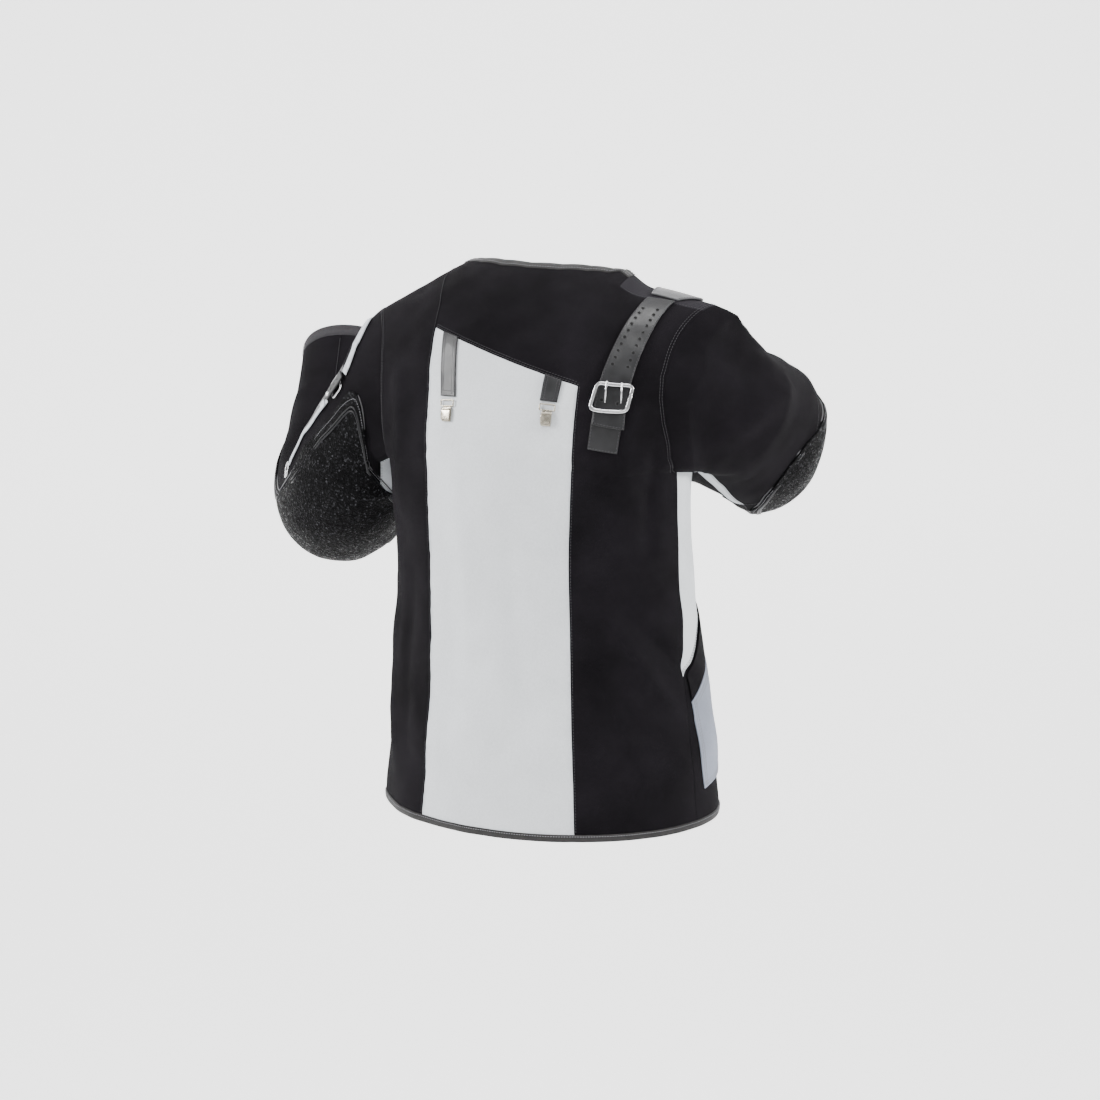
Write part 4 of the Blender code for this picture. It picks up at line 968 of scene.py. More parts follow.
@dataclass(frozen=True)
class PlainFinish:
    """Thread, plastic or a dark hollow: one colour with faint unevenness."""

    name: str
    colour: tuple[float, float, float]
    roughness: float = 0.6
    pitch: float = 300.0

    def build(self) -> bpy.types.Material:
        """Makes the material.

        Returns:
            The material.
        """
        shader = Shader(self.name, self.colour, self.roughness, specular=0.2)
        grain = shader.noise(shader.places(uv=False), self.pitch, 2.0)
        shader.join(shader.ramp(grain, ((0.3, mixed(self.colour, 0.88)), (0.7, mixed(self.colour, 1.12)))),
                    shader.shader.inputs["Base Color"])
        return shader.material


@dataclass
class Finishes:
    """All the finishes of the jacket."""

    black: CanvasFinish = CanvasFinish("black_canvas", (0.0062, 0.0054, 0.0068), 0.74,
                                        mottle=0.35, sheen=0.012)
    shoulder: CanvasFinish = CanvasFinish("shoulder_canvas", (0.020, 0.0185, 0.022), 0.8, sheen=0.02)
    white: CanvasFinish = CanvasFinish("white_canvas", (0.55, 0.57, 0.59), 0.7, mottle=0.05, height=0.00012)
    grey: CanvasFinish = CanvasFinish("grey_canvas", (0.235, 0.255, 0.305), 0.5, mottle=0.12)
    tape: TapeFinish = TapeFinish("binding_tape", (0.0150, 0.0140, 0.0140))
    cuff: TapeFinish = TapeFinish("cuff_tape", (0.022, 0.020, 0.023), 0.7)
    rubber: RubberFinish = RubberFinish("crumb_rubber", (0.0020, 0.0020, 0.0022))
    piping: PlainFinish = PlainFinish("black_piping", (0.010, 0.010, 0.011), 0.35)
    leather: LeatherFinish = LeatherFinish("black_leather", (0.0050, 0.0050, 0.0058))
    # Lighter grey leather: on the strap over the shoulder this grey is a painted sheen on black leather; the
    # elbow patches' edge tubes also use it.
    leather_edge: LeatherFinish = LeatherFinish("shoulder_leather_painted_sheen", (0.055, 0.055, 0.058), 0.3)
    steel: MetalFinish = MetalFinish("polished_steel", (0.52, 0.52, 0.53), 0.20)
    nickel: MetalFinish = MetalFinish("plated_nickel", (0.36, 0.33, 0.27), 0.28)
    button: PlainFinish = PlainFinish("black_button", (0.02, 0.02, 0.022), 0.25)
    webbing: TapeFinish = TapeFinish("silver_webbing", (0.42, 0.44, 0.47), 0.55, 0.0016)
    thread_black: PlainFinish = PlainFinish("black_thread", (0.030, 0.029, 0.032), 0.5)
    thread_grey: PlainFinish = PlainFinish("grey_thread", (0.16, 0.16, 0.17), 0.5)
    thread_white: PlainFinish = PlainFinish("white_thread", (0.50, 0.52, 0.55), 0.6)
    hollow: PlainFinish = PlainFinish("punched_hole", (0.004, 0.004, 0.004), 0.9)
    made: dict[str, bpy.types.Material] = field(default_factory=dict)

    def get(self, name: str) -> bpy.types.Material:
        """Returns a finish's material, made once."""
        if name not in self.made:
            self.made[name] = getattr(self, name).build()
        return self.made[name]


@dataclass
class Maker:
    """Turns arrays into pieces, and attaches each of them to the body that it moves with."""

    finishes: Finishes
    shown: list[str] = field(default_factory=list)
    narrowest: float = 0.0102
    least_share: float = 0.31

    def add(self, name: str, points: Array, faces: Array, finish: str, uv: Array | None = None,
            body: Body = Body.JACKET, triangles: Array | None = None) -> bpy.types.Object:
        """Makes a mesh piece.

        Args:
            name: the piece's name.
            points: N by 3.
            faces: M by 4 indices.
            finish: the finish's name.
            uv: N by 2 in metres.
            body: the body that it moves with.
            triangles: K by 3 indices of further faces.

        Returns:
            The object.
        """
        mesh = bpy.data.meshes.new(name)
        sizes = np.full(len(faces), faces.shape[1], np.int32)
        corners = faces.ravel()
        if triangles is not None:
            sizes = np.append(sizes, np.full(len(triangles), 3, np.int32))
            corners = np.append(corners, triangles)
        mesh.vertices.add(len(points))
        mesh.vertices.foreach_set("co", np.ascontiguousarray(points, np.float32).ravel())
        mesh.loops.add(len(corners))
        mesh.loops.foreach_set("vertex_index", corners.astype(np.int32))
        mesh.polygons.add(len(sizes))
        mesh.polygons.foreach_set("loop_start", (np.cumsum(sizes) - sizes).astype(np.int32))
        mesh.polygons.foreach_set("use_smooth", np.ones(len(sizes), bool))
        mesh.update(calc_edges=True)
        if uv is not None:
            layer = mesh.uv_layers.new(name="metres")
            layer.data.foreach_set("uv", uv[faces.ravel()].astype(np.float32).ravel())
        mesh.validate()
        mesh.materials.append(self.finishes.get(finish))
        item = bpy.data.objects.new(name, mesh)
        bpy.context.scene.collection.objects.link(item)
        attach(item, body.value)
        self.shown.append(name)
        LOG.info("%s: %d points, %d faces", name, len(points), len(sizes))
        return item

    def grid_faces(self, rows: int, columns: int, mask: Array | None = None, flip: bool = False,
                   offset: int = 0) -> Array:
        """Returns the quads of a grid of points.

        Args:
            rows: rows of points.
            columns: columns of points.
            mask: which cells are kept.
            flip: True turns the faces over.
            offset: added to every index.

        Returns:
            M by 4 indices.
        """
        corner = np.arange(rows * columns).reshape(rows, columns)
        quads = np.stack([corner[:-1, :-1], corner[:-1, 1:], corner[1:, 1:], corner[1:, :-1]], axis=-1)
        quads = quads.reshape(-1, 4) if mask is None else quads[mask]
        return (quads[:, ::-1] if flip else quads) + offset

    def sheet(self, name: str, parts: list[tuple[Array, Array, Array | None, bool]], finish: str,
              thickness: float, replaces: str | None, round_edge: float = 0.0006,
              declare: bool = True) -> bpy.types.Object:
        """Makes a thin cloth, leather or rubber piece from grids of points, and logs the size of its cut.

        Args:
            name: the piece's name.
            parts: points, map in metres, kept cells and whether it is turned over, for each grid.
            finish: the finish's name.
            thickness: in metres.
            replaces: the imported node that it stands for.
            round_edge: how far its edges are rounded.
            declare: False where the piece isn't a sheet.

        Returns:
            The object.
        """
        points, uvs, faces = [], [], []
        offset, beside = 0, 0.0
        for grid, uv, mask, flip in parts:
            rows, columns = grid.shape[:2]
            faces.append(self.grid_faces(rows, columns, mask, flip, offset))
            points.append(grid.reshape(-1, 3))
            flat = uv.reshape(-1, 2)
            used = flat[np.unique(faces[-1]) - offset]
            low, high = used.min(axis=0), used.max(axis=0)
            uvs.append(flat - low + np.array((beside, 0.0)))
            beside += high[0] - low[0]
            offset += rows * columns
        faces, points, uvs = np.concatenate(faces), np.concatenate(points), np.concatenate(uvs)
        used, inverse = np.unique(faces.ravel(), return_inverse=True)
        faces = inverse.reshape(-1, 4)
        points, uvs = points[used], uvs[used]
        item = self.add(name, points, faces, finish, uvs)
        if len(parts) > 1:
            shape = bmesh.new()
            shape.from_mesh(item.data)
            bmesh.ops.remove_doubles(shape, verts=shape.verts, dist=0.00004)
            shape.to_mesh(item.data)
            shape.free()
        solid = item.modifiers.new("Shell", "SOLIDIFY")
        solid.thickness = thickness
        solid.offset = 0.0
        if round_edge:
            bevel = item.modifiers.new("Edge", "BEVEL")
            bevel.width = min(round_edge, thickness * 0.4)
            bevel.segments = 2
            bevel.limit_method = "ANGLE"
            bevel.angle_limit = math.radians(55)
        corners = points[faces]
        crossed = np.cross(corners[:, 2] - corners[:, 0], corners[:, 3] - corners[:, 1])
        area = float(np.linalg.norm(crossed, axis=1).sum() / 2)
        span = uvs.max(axis=0) - uvs.min(axis=0)
        width, length = float(span[0]), float(span[1])
        if width * length < area:
            width, length = width * math.sqrt(area / (width * length)) * 1.001, length * math.sqrt(
                area / (width * length)) * 1.001
        share = area / (width * length)
        if share < self.least_share:
            width, length = (size * math.sqrt(share / self.least_share) for size in (width, length))
        if min(width, length) < self.narrowest:
            width, length = max(width, self.narrowest), max(length, self.narrowest)
            area = max(area, 0.7 * width * length)
        if declare:
            LOG.info("%s: cut %.3f by %.3f m, %.4f square metres", name, width, length, area)
        if replaces:
            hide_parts(replaces)
        return item

    def laid(self, name: str, points: Array, finish: str, thickness: float, replaces: str | None,
             round_edge: float = 0.0006, turned_over: bool = False, declare: bool = True) -> None:
        """Makes a sheet of one grid of points that lies on another piece."""
        self.sheet(name, [(points, arc_map(points), None, turned_over)], finish, thickness, replaces,
                   round_edge, declare)

    def tube(self, name: str, line: Array, radius: float | Array, finish: str, closed: bool = False,
             sides: int = 10, replaces: str | None = None, body: Body = Body.JACKET,
             profile: Array | None = None, out: Array | None = None) -> bpy.types.Object:
        """Sweeps a round or given profile along a line.

        Each ring is p + n u + b v, where n is the outward direction square to the run and b is n x t.

        Args:
            name: the piece's name.
            line: points, N by 3.
            radius: one radius, or one for each point.
            finish: the finish's name.
            closed: True joins the ends.
            sides: points round it.
            replaces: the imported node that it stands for.
            body: the body that it moves with.
            profile: K by 2 offsets (along n, along b) in place of a circle.
            out: outward directions at the points.

        Returns:
            The object.
        """
        line = np.asarray(line, float)
        count = len(line)
        run = np.roll(line, -1, axis=0) - np.roll(line, 1, axis=0) if closed else np.gradient(line, axis=0)
        run = unit(run)
        if out is None:
            out = np.cross(run, np.roll(run, 1, axis=0) + np.array((0.013, 0.027, 0.91)))
        normal = unit(out - run * np.sum(out * run, axis=-1, keepdims=True))
        beside = np.cross(normal, run)
        if profile is None:
            turn = np.linspace(0, 2 * math.pi, sides + 1)[:-1]
            profile = np.stack([np.cos(turn), np.sin(turn)], axis=-1)
        scale = np.broadcast_to(np.asarray(radius, float), (count,))[:, None, None]
        across = profile.shape[0]
        rings = line[:, None] + scale * (normal[:, None] * profile[None, :, :1]
                                         + beside[:, None] * profile[None, :, 1:])
        points = rings.reshape(-1, 3)
        row = np.arange(count)[:, None] * across
        place = np.arange(across)[None, :]
        last = count if closed else count - 1
        here, there = row[:last], (row[:last] + across) % (count * across)
        after = (place + 1) % across
        faces = np.stack([here + place, here + after, there + after, there + place], axis=-1).reshape(-1, 4)
        caps = None
        if not closed:
            points = np.vstack([points, line[:1], line[-1:]])
            first, final = count * across, count * across + 1
            side = np.arange(across)
            begin = np.stack([np.full(across, first), (side + 1) % across, side], axis=-1)
            end_row = (count - 1) * across
            end = np.stack([np.full(across, final), end_row + side, end_row + (side + 1) % across], axis=-1)
            caps = np.vstack([begin, end])
        item = self.add(name, points, faces, finish, None, body, caps)
        if replaces:
            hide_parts(replaces)
        return item

    def stitches(self, name: str, lines: list[tuple[Array, Array]], finish: str, pitch: float = 0.0036,
                 length: float = 0.0026, radius: float = 0.00042) -> bpy.types.Object:
        """Lays stitches along lines, each a short raised lozenge with 4 by 3 points and closed ends.

        Args:
            name: the piece's name.
            lines: points and outward directions of each line.
            finish: the finish's name.
            pitch: from one stitch to the next.
            length: a stitch's length.
            radius: half its width.

        Returns:
            The object.
        """
        middles, runs, outs = [], [], []
        for line, out in lines:
            step = np.concatenate([[0], np.cumsum(np.linalg.norm(np.diff(line, axis=0), axis=1))])
            reading = np.arange(pitch / 2, step[-1], pitch)
            if len(reading) < 2:
                continue
            middle = np.stack([np.interp(reading, step, line[:, axis]) for axis in range(3)], axis=-1)
            normal = unit(np.stack([np.interp(reading, step, out[:, axis]) for axis in range(3)], axis=-1))
            middles.append(middle)
            runs.append(unit(np.gradient(middle, axis=0)))
            outs.append(normal)
        middle, run, out = np.concatenate(middles), np.concatenate(runs), np.concatenate(outs)
        side = unit(np.cross(out, run))
        rings = []
        for along, size, lift in ((-0.5, 0.55, -0.2), (0.0, 1.0, 0.35), (0.5, 0.55, -0.2)):
            centre = middle + run * along * length + out * lift * radius
            for u, v in ((1, 0), (0, 1), (-1, 0), (0, -1)):
                rings.append(centre + (out * u + side * v) * radius * size)
        points = np.stack(rings, axis=1).reshape(-1, 3)
        quads = [[ring + k, ring + (k + 1) % 4, ring + 4 + (k + 1) % 4, ring + 4 + k]
                 for ring in (0, 4) for k in range(4)] + [[3, 2, 1, 0], [8, 9, 10, 11]]
        faces = (np.arange(len(middle))[:, None, None] * 12 + np.array(quads)[None]).reshape(-1, 4)
        return self.add(name, points, faces, finish)


def arc_map(points: Array) -> Array:
    """Returns a map in metres: arc lengths along the rows and along the columns of a grid.

    Args:
        points: rows by columns by 3.

    Returns:
        Rows by columns by 2.
    """
    across = np.linalg.norm(np.diff(points, axis=1), axis=-1)
    along = np.linalg.norm(np.diff(points, axis=0), axis=-1)
    u = np.concatenate([np.zeros((points.shape[0], 1)), np.cumsum(across, axis=1)], axis=1)
    v = np.concatenate([np.zeros((1, points.shape[1])), np.cumsum(along, axis=0)], axis=0)
    return np.stack([u - u[:, u.shape[1] // 2][:, None], v], axis=-1)


def looks_inwards(points: Array, share: float, centre: Array) -> bool:
    """Says whether a grid's faces look towards its inside, and so have to be turned over.

    Args:
        points: rows by columns by 3.
        share: how far along the middle row it is tested.
        centre: a point inside.

    Returns:
        True if they look inwards.
    """
    row, place = points.shape[0] // 2, int(points.shape[1] * share)
    here = points[row, place]
    normal = np.cross(points[row, place + 1] - here, points[row + 1, place] - here)
    return bool(normal @ (here - centre) < 0)


def even_loop(line: Array, out: Array) -> tuple[Array, Array]:
    """Spaces the points of a closed line evenly, and their directions with them.

    Args:
        line: points, N by 3.
        out: directions, N by 3.

    Returns:
        As many points and directions.
    """
    closed = [np.vstack([values, values[:1]]) for values in (line, out)]
    step = np.concatenate([[0], np.cumsum(np.linalg.norm(np.diff(closed[0], axis=0), axis=1))])
    reading = np.linspace(0, step[-1], len(step))[:-1]
    return tuple(np.stack([np.interp(reading, step, values[:, axis]) for axis in range(3)], axis=-1)
                 for values in closed)


@dataclass
class TrunkCloth:
    """The cloth of the trunk: back panels, yoke, shoulders, fronts and bindings."""

    trunk: Trunk
    shell: float = 0.0018
    binding: float = 0.0028
    bulge: float = 0.0006
    front_seam_row: float = 1.73

    def __post_init__(self) -> None:
        """Works out both halves' fine grids."""
        trunk = self.trunk
        self.coarse_back = trunk.back_table()
        self.coarse_front = trunk.front_table(self.coarse_back[0][-1])
        self.fine = {}
        for half, table in ((Half.BACK, self.coarse_back), (Half.FRONT, self.coarse_front)):
            angle, level = (refined(values, trunk.steps) for values in table)
            points, out = trunk.lifted(half, angle, level)
            self.fine[half] = (points, out, arc_map(points), angle, level)

    def cells(self, rows: tuple[int, int], columns: tuple[int, int]) -> Array:
        """Marks the coarse cells between two rows and two columns."""
        marked = np.zeros((len(self.trunk.rows) - 1, self.coarse_back[0].shape[1] - 1), bool)
        marked[rows[0]:rows[1], columns[0]:columns[1]] = True
        return marked

    def part(self, half: Half, cells: Array,
             bulge: tuple[int, int] | None = None) -> tuple[Array, Array, Array, bool]:
        """Returns one half's share of a piece.

        Args:
            half: back or front.
            cells: coarse cells.
            bulge: rows between which a binding swells out, or None.

        Returns:
            Points, map, fine cells and whether the faces are turned over.
        """
        points, out, uv, _, _ = self.fine[half]
        steps = self.trunk.steps
        if bulge:
            share = np.clip((np.arange(points.shape[0]) / steps - bulge[0]) / (bulge[1] - bulge[0]), 0, 1)
            points = points + out * (self.bulge * np.sin(np.pi * share))[:, None, None]
        mask = np.repeat(np.repeat(cells, steps, axis=0), steps, axis=1)
        return points, uv, mask, half is Half.FRONT

    def build(self, maker: Maker) -> None:
        """Makes the trunk's pieces.

        Args:
            maker: makes and declares pieces.
        """
        trunk = self.trunk
        count = self.coarse_back[0].shape[1]
        top = len(trunk.rows) - 1
        seam, band = top - 2, top - 1
        left, neck_left = trunk.left_columns, trunk.side_columns
        right = count - 1 - trunk.side_columns - 1
        neck_right = right + 1
        yoke, lower = trunk.rows.index(trunk.yoke_row), trunk.rows.index(trunk.lower_front_row)
        front_seam = trunk.rows.index(self.front_seam_row)
        back, front = Half.BACK, Half.FRONT
        yoke_cells = self.cells((yoke, band), (left, right)) | self.cells((1, seam), (right, count - 1))
        yoke_cells |= self.cells((seam, band), (right, neck_right))
        yoke_cells[seam:top, left:neck_left] = False
        yoke_cells[seam:band, neck_left:neck_left + 1] = True
        for name, cells, finish in (("back_left", self.cells((1, seam), (0, left)), "black"),
                                    ("back_center", self.cells((1, yoke), (left, right)), "white"),
                                    ("back_right_yoke", yoke_cells, "black")):
            maker.sheet(name + "_cloth", [self.part(back, cells)], finish, self.shell, name)
        middle = trunk.side_columns + 1 + trunk.neck_columns // 2
        for side, low, high in (("left", left, neck_left), ("right", neck_right, count - 1)):
            low = 0 if side == "left" else low
            parts = [self.part(back, self.cells((seam, top), (low, high))),
                     self.part(front, self.cells((front_seam, top), (low, high)))]
            maker.sheet(f"shoulder_{side}_cloth", parts, "shoulder", self.shell, "shoulder_" + side)
        for side, low, high, inner in (("left", 0, middle, (neck_left, middle)),
                                       ("right", middle, count - 1, (middle, neck_right))):
            cells = self.cells((lower, front_seam), (low, high)) | self.cells((front_seam, band), inner)
            maker.sheet(f"front_{side}_cloth", [self.part(front, cells)], "white", self.shell,
                        "front_" + side)
            maker.sheet(f"front_lower_{side}_cloth", [self.part(front, self.cells((1, lower), (low, high)))],
                        "black", self.shell, "front_lower_" + side)
        ring = self.cells((band, top), (neck_left, neck_right))
        maker.sheet("neck_binding_tape", [self.part(half, ring, (band, top)) for half in (back, front)],
                    "tape", self.binding, "neck_binding", round_edge=0.0010)
        hem = self.cells((0, 1), (0, count - 1))
        maker.sheet("hem_binding_tape", [self.part(half, hem, (0, 1)) for half in (back, front)],
                    "tape", self.binding, "hem_binding", round_edge=0.0010)

    def armhole(self, place: int) -> tuple[Array, Array]:
        """Returns the armhole's fine edge and the middle of its coarse one.

        Args:
            place: 0 for the wearer's left, -1 for the right.

        Returns:
            Points round the armhole, and the sleeve's start.
        """
        trunk = self.trunk
        first = trunk.rows.index(1.0)
        edges = []
        for steps in (trunk.steps, 1):
            tables = [[refined(values, steps) for values in table]
                      for table in (self.coarse_back, self.coarse_front)]
            back, front = (trunk.point(half, table[0][:, place], table[1][:, place])
                           for half, table in zip((Half.BACK, Half.FRONT), tables))
            edges.append(np.concatenate([back[first * steps:][::-1], front[first * steps + 1:-1]]))
        return edges[0], edges[1].mean(axis=0)


@dataclass
class SleeveCloth:
    """One sleeve's cloth, its cuff and its rubber elbow patch."""

    form: SleeveForm
    patch: Table
    shell: float = 0.0018
    cuff_band: float = 0.0026
    rubber: float = 0.0026
    patch_lift: float = 0.0027
    piping: float = 0.0011
    piping_insets: tuple[float, float] = (0.052, 0.068)
    steps: int = 7
    elbow: int = 9
    cuff_station: int = 16
    stations: tuple[float, ...] = (0.0, 0.05, 0.11, 0.18, 0.25, 0.31, 0.36, 0.41, 0.46,
                                   0.51, 0.56, 0.61, 0.67, 0.74, 0.82, 0.90, 0.965, 1.0)

    def build(self, maker: Maker) -> None:
        """Makes the sleeve's pieces.

        Args:
            maker: makes and declares pieces.
        """
        side = self.form.side.value
        count = len(self.stations)
        places = np.linspace(0, count - 1, (count - 1) * self.steps + 1)
        fine = np.interp(places, np.arange(count), self.stations)
        turns = self.form.even_turn
        points, out = self.form.lifted(fine[:, None], turns[None, :])
        points[:, -1] = points[:, 0]
        uv = arc_map(points)
        around = len(turns) - 1
        elbow, cuff = self.elbow * self.steps, self.cuff_station * self.steps
        flip = looks_inwards(points, 0.25, points[points.shape[0] // 2].mean(axis=0))
        for name, rows, columns, finish in (("upper_back", (0, elbow), (0, around // 2), "black"),
                                            ("upper_front", (0, elbow), (around // 2, around), "white"),
                                            ("forearm_back", (elbow, cuff), (0, around // 2), "black"),
                                            ("forearm_front", (elbow, cuff), (around // 2, around), "black")):
            mask = np.zeros((points.shape[0] - 1, points.shape[1] - 1), bool)
            mask[rows[0]:rows[1], columns[0]:columns[1]] = True
            maker.sheet(f"sleeve_{side}_{name}_cloth", [(points, uv, mask, flip)], finish, self.shell,
                        f"sleeve_{side}_{name}")
        share = np.clip((np.arange(points.shape[0]) - cuff) / (points.shape[0] - 1 - cuff), 0, 1)
        swollen = points + out * (0.0005 * np.sin(np.pi * share))[:, None, None]
        mask = np.zeros((points.shape[0] - 1, points.shape[1] - 1), bool)
        mask[cuff:] = True
        halves = [mask.copy(), mask.copy()]
        halves[0][:, around // 2:] = False
        halves[1][:, :around // 2] = False
        maker.sheet(f"cuff_{side}_band", [(swollen, uv, half, flip) for half in halves], "cuff",
                    self.cuff_band, "cuff_" + side, round_edge=0.0009)
        self.build_patch(maker)

    def patch_marks(self, across: Array, along: Array) -> tuple[Array, Array]:
        """Returns ways and turns on the patch.

        Args:
            across: 0 to 1 from its first turn to its last.
            along: 0 to 1 from its start to its end.

        Returns:
            Ways and turns in radians.
        """
        first, last = self.patch[0][0], self.patch[-1][0]
        turns = first + (last - first) * across
        start = read(self.patch, turns, 1)
        end = read(self.patch, turns, 2)
        return start * (1 - along) + end * along, np.radians(turns)

    def build_patch(self, maker: Maker) -> None:
        """Makes the rubber patch with its double piping.

        Args:
            maker: makes and declares pieces.
        """
        side = self.form.side.value
        across, along = np.meshgrid(np.linspace(0, 1, 97), np.linspace(0, 1, 120))
        ways, turns = self.patch_marks(across, along)
        points, _ = self.form.lifted(ways, turns, self.patch_lift)
        inwards = looks_inwards(points, 0.5, self.form.centre(np.array([0.5]))[0])
        maker.laid(f"elbow_patch_{side}_rubber", points, "rubber", self.rubber, "elbow_patch_" + side,
                   0.0010, inwards)
        top, radius = self.patch_lift + self.rubber / 2, self.piping
        for number, inset in enumerate(self.piping_insets, 1):
            line, out = self.patch_loop(inset, inset * 0.62, top + radius * 0.3)
            maker.tube(f"elbow_piping_{side}_{number}", line, radius, "piping", closed=True, sides=8, out=out)
        line, out = self.patch_loop(-0.004, -0.003, 0.0014)
        maker.tube(f"elbow_edge_{side}", line, 0.0009, "leather_edge", closed=True, sides=8, out=out)
        self.edge_stitches = [self.patch_loop(0.016, 0.010, top)]

    def patch_loop(self, inset_across: float, inset_along: float, lift: float) -> tuple[Array, Array]:
        """Returns a closed loop inside the patch's outline, with rounded corners.

        Args:
            inset_across: share of the patch's width that it stays inside.
            inset_along: share of its length.
            lift: off the cloth's middle.

        Returns:
            Points and outward directions.
        """
        turn = np.linspace(0, 2 * math.pi, 361)[:-1]
        power = 0.16
        across = 0.5 + (0.5 - inset_across) * np.sign(np.cos(turn)) * np.abs(np.cos(turn)) ** power
        along = 0.5 + (0.5 - inset_along) * np.sign(np.sin(turn)) * np.abs(np.sin(turn)) ** power
        ways, turns = self.patch_marks(np.clip(across, -0.01, 1.01), along)
        points, out = self.form.lifted(ways, turns, lift)
        even, even_out = even_loop(points, out)
        return even, unit(even_out)


@dataclass
class Studio:
    """A pale seamless backdrop, soft lights and the camera at the photograph's angle."""

    azimuth: float = 205.0
    elevation: float = 8.9
    distance: float = 2.905
    target: tuple[float, float, float] = (0.0, 0.0, -0.35)
    lens: float = 77.8
    sensor: float = 36.0
    shift: float = -0.0018
    grey: tuple[float, float, float] = (0.93, 0.93, 0.93)
    glow: float = 0.75
    sky: float = 0.80
    lamps: tuple[tuple[str, float, float, float, float, float], ...] = (
        ("key_light", 1.0, -2.9, 1.3, 1.2, 200.0), ("fill_light", 1.1, 2.9, 1.5, 1.2, 200.0),
        ("top_light", 0.6, 0.0, 2.6, 1.2, 70.0), ("low_light", 2.4, 0.2, -1.0, 1.8, 20.0))

    def back(self) -> Vector:
        """Returns the direction from the target to the camera."""
        a, e = math.radians(self.azimuth), math.radians(self.elevation)
        return Vector((math.sin(a) * math.cos(e), -math.cos(a) * math.cos(e), math.sin(e)))

    def build(self, maker: Maker) -> None:
        """Makes the camera, the backdrop and the lights.

        Args:
            maker: knows the faces of a grid.
        """
        back = self.back()
        data = bpy.data.cameras.new("camera")
        data.lens = self.lens
        data.sensor_width = self.sensor
        data.shift_y = self.shift
        camera = bpy.data.objects.new("camera", data)
        camera.location = Vector(self.target) + back * self.distance
        camera.rotation_mode = "QUATERNION"
        camera.rotation_quaternion = (-back).to_track_quat("-Z", "Y")
        bpy.context.scene.collection.objects.link(camera)
        bpy.context.scene.camera = camera
        self.backdrop(maker)
        flat = Vector((back.x, back.y, 0)).normalized()
        side = Vector((-flat.y, flat.x, 0))
        for name, along, across, height, size, power in self.lamps:
            lamp = bpy.data.lights.new(name, "AREA")
            lamp.size = size
            lamp.energy = power
            item = bpy.data.objects.new(name, lamp)
            item.location = Vector(self.target) + flat * along + side * across + Vector((0, 0, height))
            item.rotation_mode = "QUATERNION"
            item.rotation_quaternion = (Vector(self.target) - item.location).to_track_quat("-Z", "Y")
            bpy.context.scene.collection.objects.link(item)
        world = bpy.data.worlds.new("studio")
        world.use_nodes = True
        world.node_tree.nodes["Background"].inputs["Color"].default_value = (1, 1, 1, 1)
        world.node_tree.nodes["Background"].inputs["Strength"].default_value = self.sky
        bpy.context.scene.world = world

    def backdrop(self, maker: Maker) -> None:
        """Makes the floor that curves up behind the jacket, a strip swept across the view.

        Args:
            maker: knows the faces of a grid.
        """
        back = self.back()
        flat = np.array((back.x, back.y, 0.0)) / math.hypot(back.x, back.y)
        side = np.array((-flat[1], flat[0], 0.0))
        bend = np.linspace(0, math.pi / 2, 24)
        radius, depth, floor = 1.2, 3.4, -1.9
        run = np.concatenate([[7.0], -depth + radius - radius * np.sin(bend), [-depth]])
        rise = np.concatenate([[0.0], radius - radius * np.cos(bend), [7.0]]) + floor
        reach = np.linspace(-9, 9, 7)
        points = (flat * run[:, None, None] + side * reach[None, :, None]
                  + np.array((0, 0, 1.0)) * rise[:, None, None])
        faces = maker.grid_faces(*points.shape[:2])
        mesh = bpy.data.meshes.new("backdrop")
        mesh.from_pydata(points.reshape(-1, 3).tolist(), [], faces.tolist())
        mesh.polygons.foreach_set("use_smooth", np.ones(len(faces), bool))
        paper = Shader("backdrop_paper", self.grey, 0.95, specular=0.1)
        paper.shader.inputs["Emission Color"].default_value = (1, 1, 1, 1)
        paper.shader.inputs["Emission Strength"].default_value = self.glow
        mesh.materials.append(paper.material)
        item = bpy.data.objects.new("backdrop", mesh)
        bpy.context.scene.collection.objects.link(item)


@dataclass
class Layers:
    """Where layers lie over the trunk's cloth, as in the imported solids."""

    cloth: float = 0.0022
    leather: float = 0.0024
    leather_edge: float = 0.0008
    pocket: float = 0.0018
    gap: float = 0.0003
    sag: float = 0.0004

    def stand(self, *layers: float) -> float:
        """Returns how far the last layer's middle stands off the cloth's middle."""
        return self.cloth / 2 + sum(layers[:-1]) + self.gap * len(layers) + layers[-1] / 2


def strip(trunk: Trunk, half: Half, edges: tuple[Table, ...], along: int, across: int,
          lift: float | Array) -> tuple[Array, Array]:
    """Returns a ruled grid on the folded cloth between two edges.

    Args:
        trunk: the surface.
        half: back or front.
        edges: two edges, each with rows of (place across, level).
        along: rows of points.
        across: points in a row.
        lift: off the cloth's middle.

    Returns:
        Points and outward directions.
    """
    reading = np.linspace(0, 1, along)
    rows = [np.stack([smooth_between(reading, np.linspace(0, 1, len(edge)), column(edge, axis))
                      for axis in (0, 1)], axis=-1) for edge in edges]
    share = np.linspace(0, 1, across)[None, :, None]
    flat = rows[0][:, None] * (1 - share) + rows[1][:, None] * share
    return trunk.lifted(half, trunk.angle_of(half, flat[..., 0], flat[..., 1]), flat[..., 1], lift)


@dataclass
class Seat:
    """A small frame on the cloth: a middle, across to the wearer's left, up, and out of it."""

    middle: Array
    right: Array
    up: Array
    out: Array

    def at(self, x: Array, y: Array, z: Array | float = 0.0) -> Array:
        """Returns points of the frame."""
        x, y, z = np.broadcast_arrays(x, y, z)
        return self.middle + x[..., None] * self.right + y[..., None] * self.up + z[..., None] * self.out


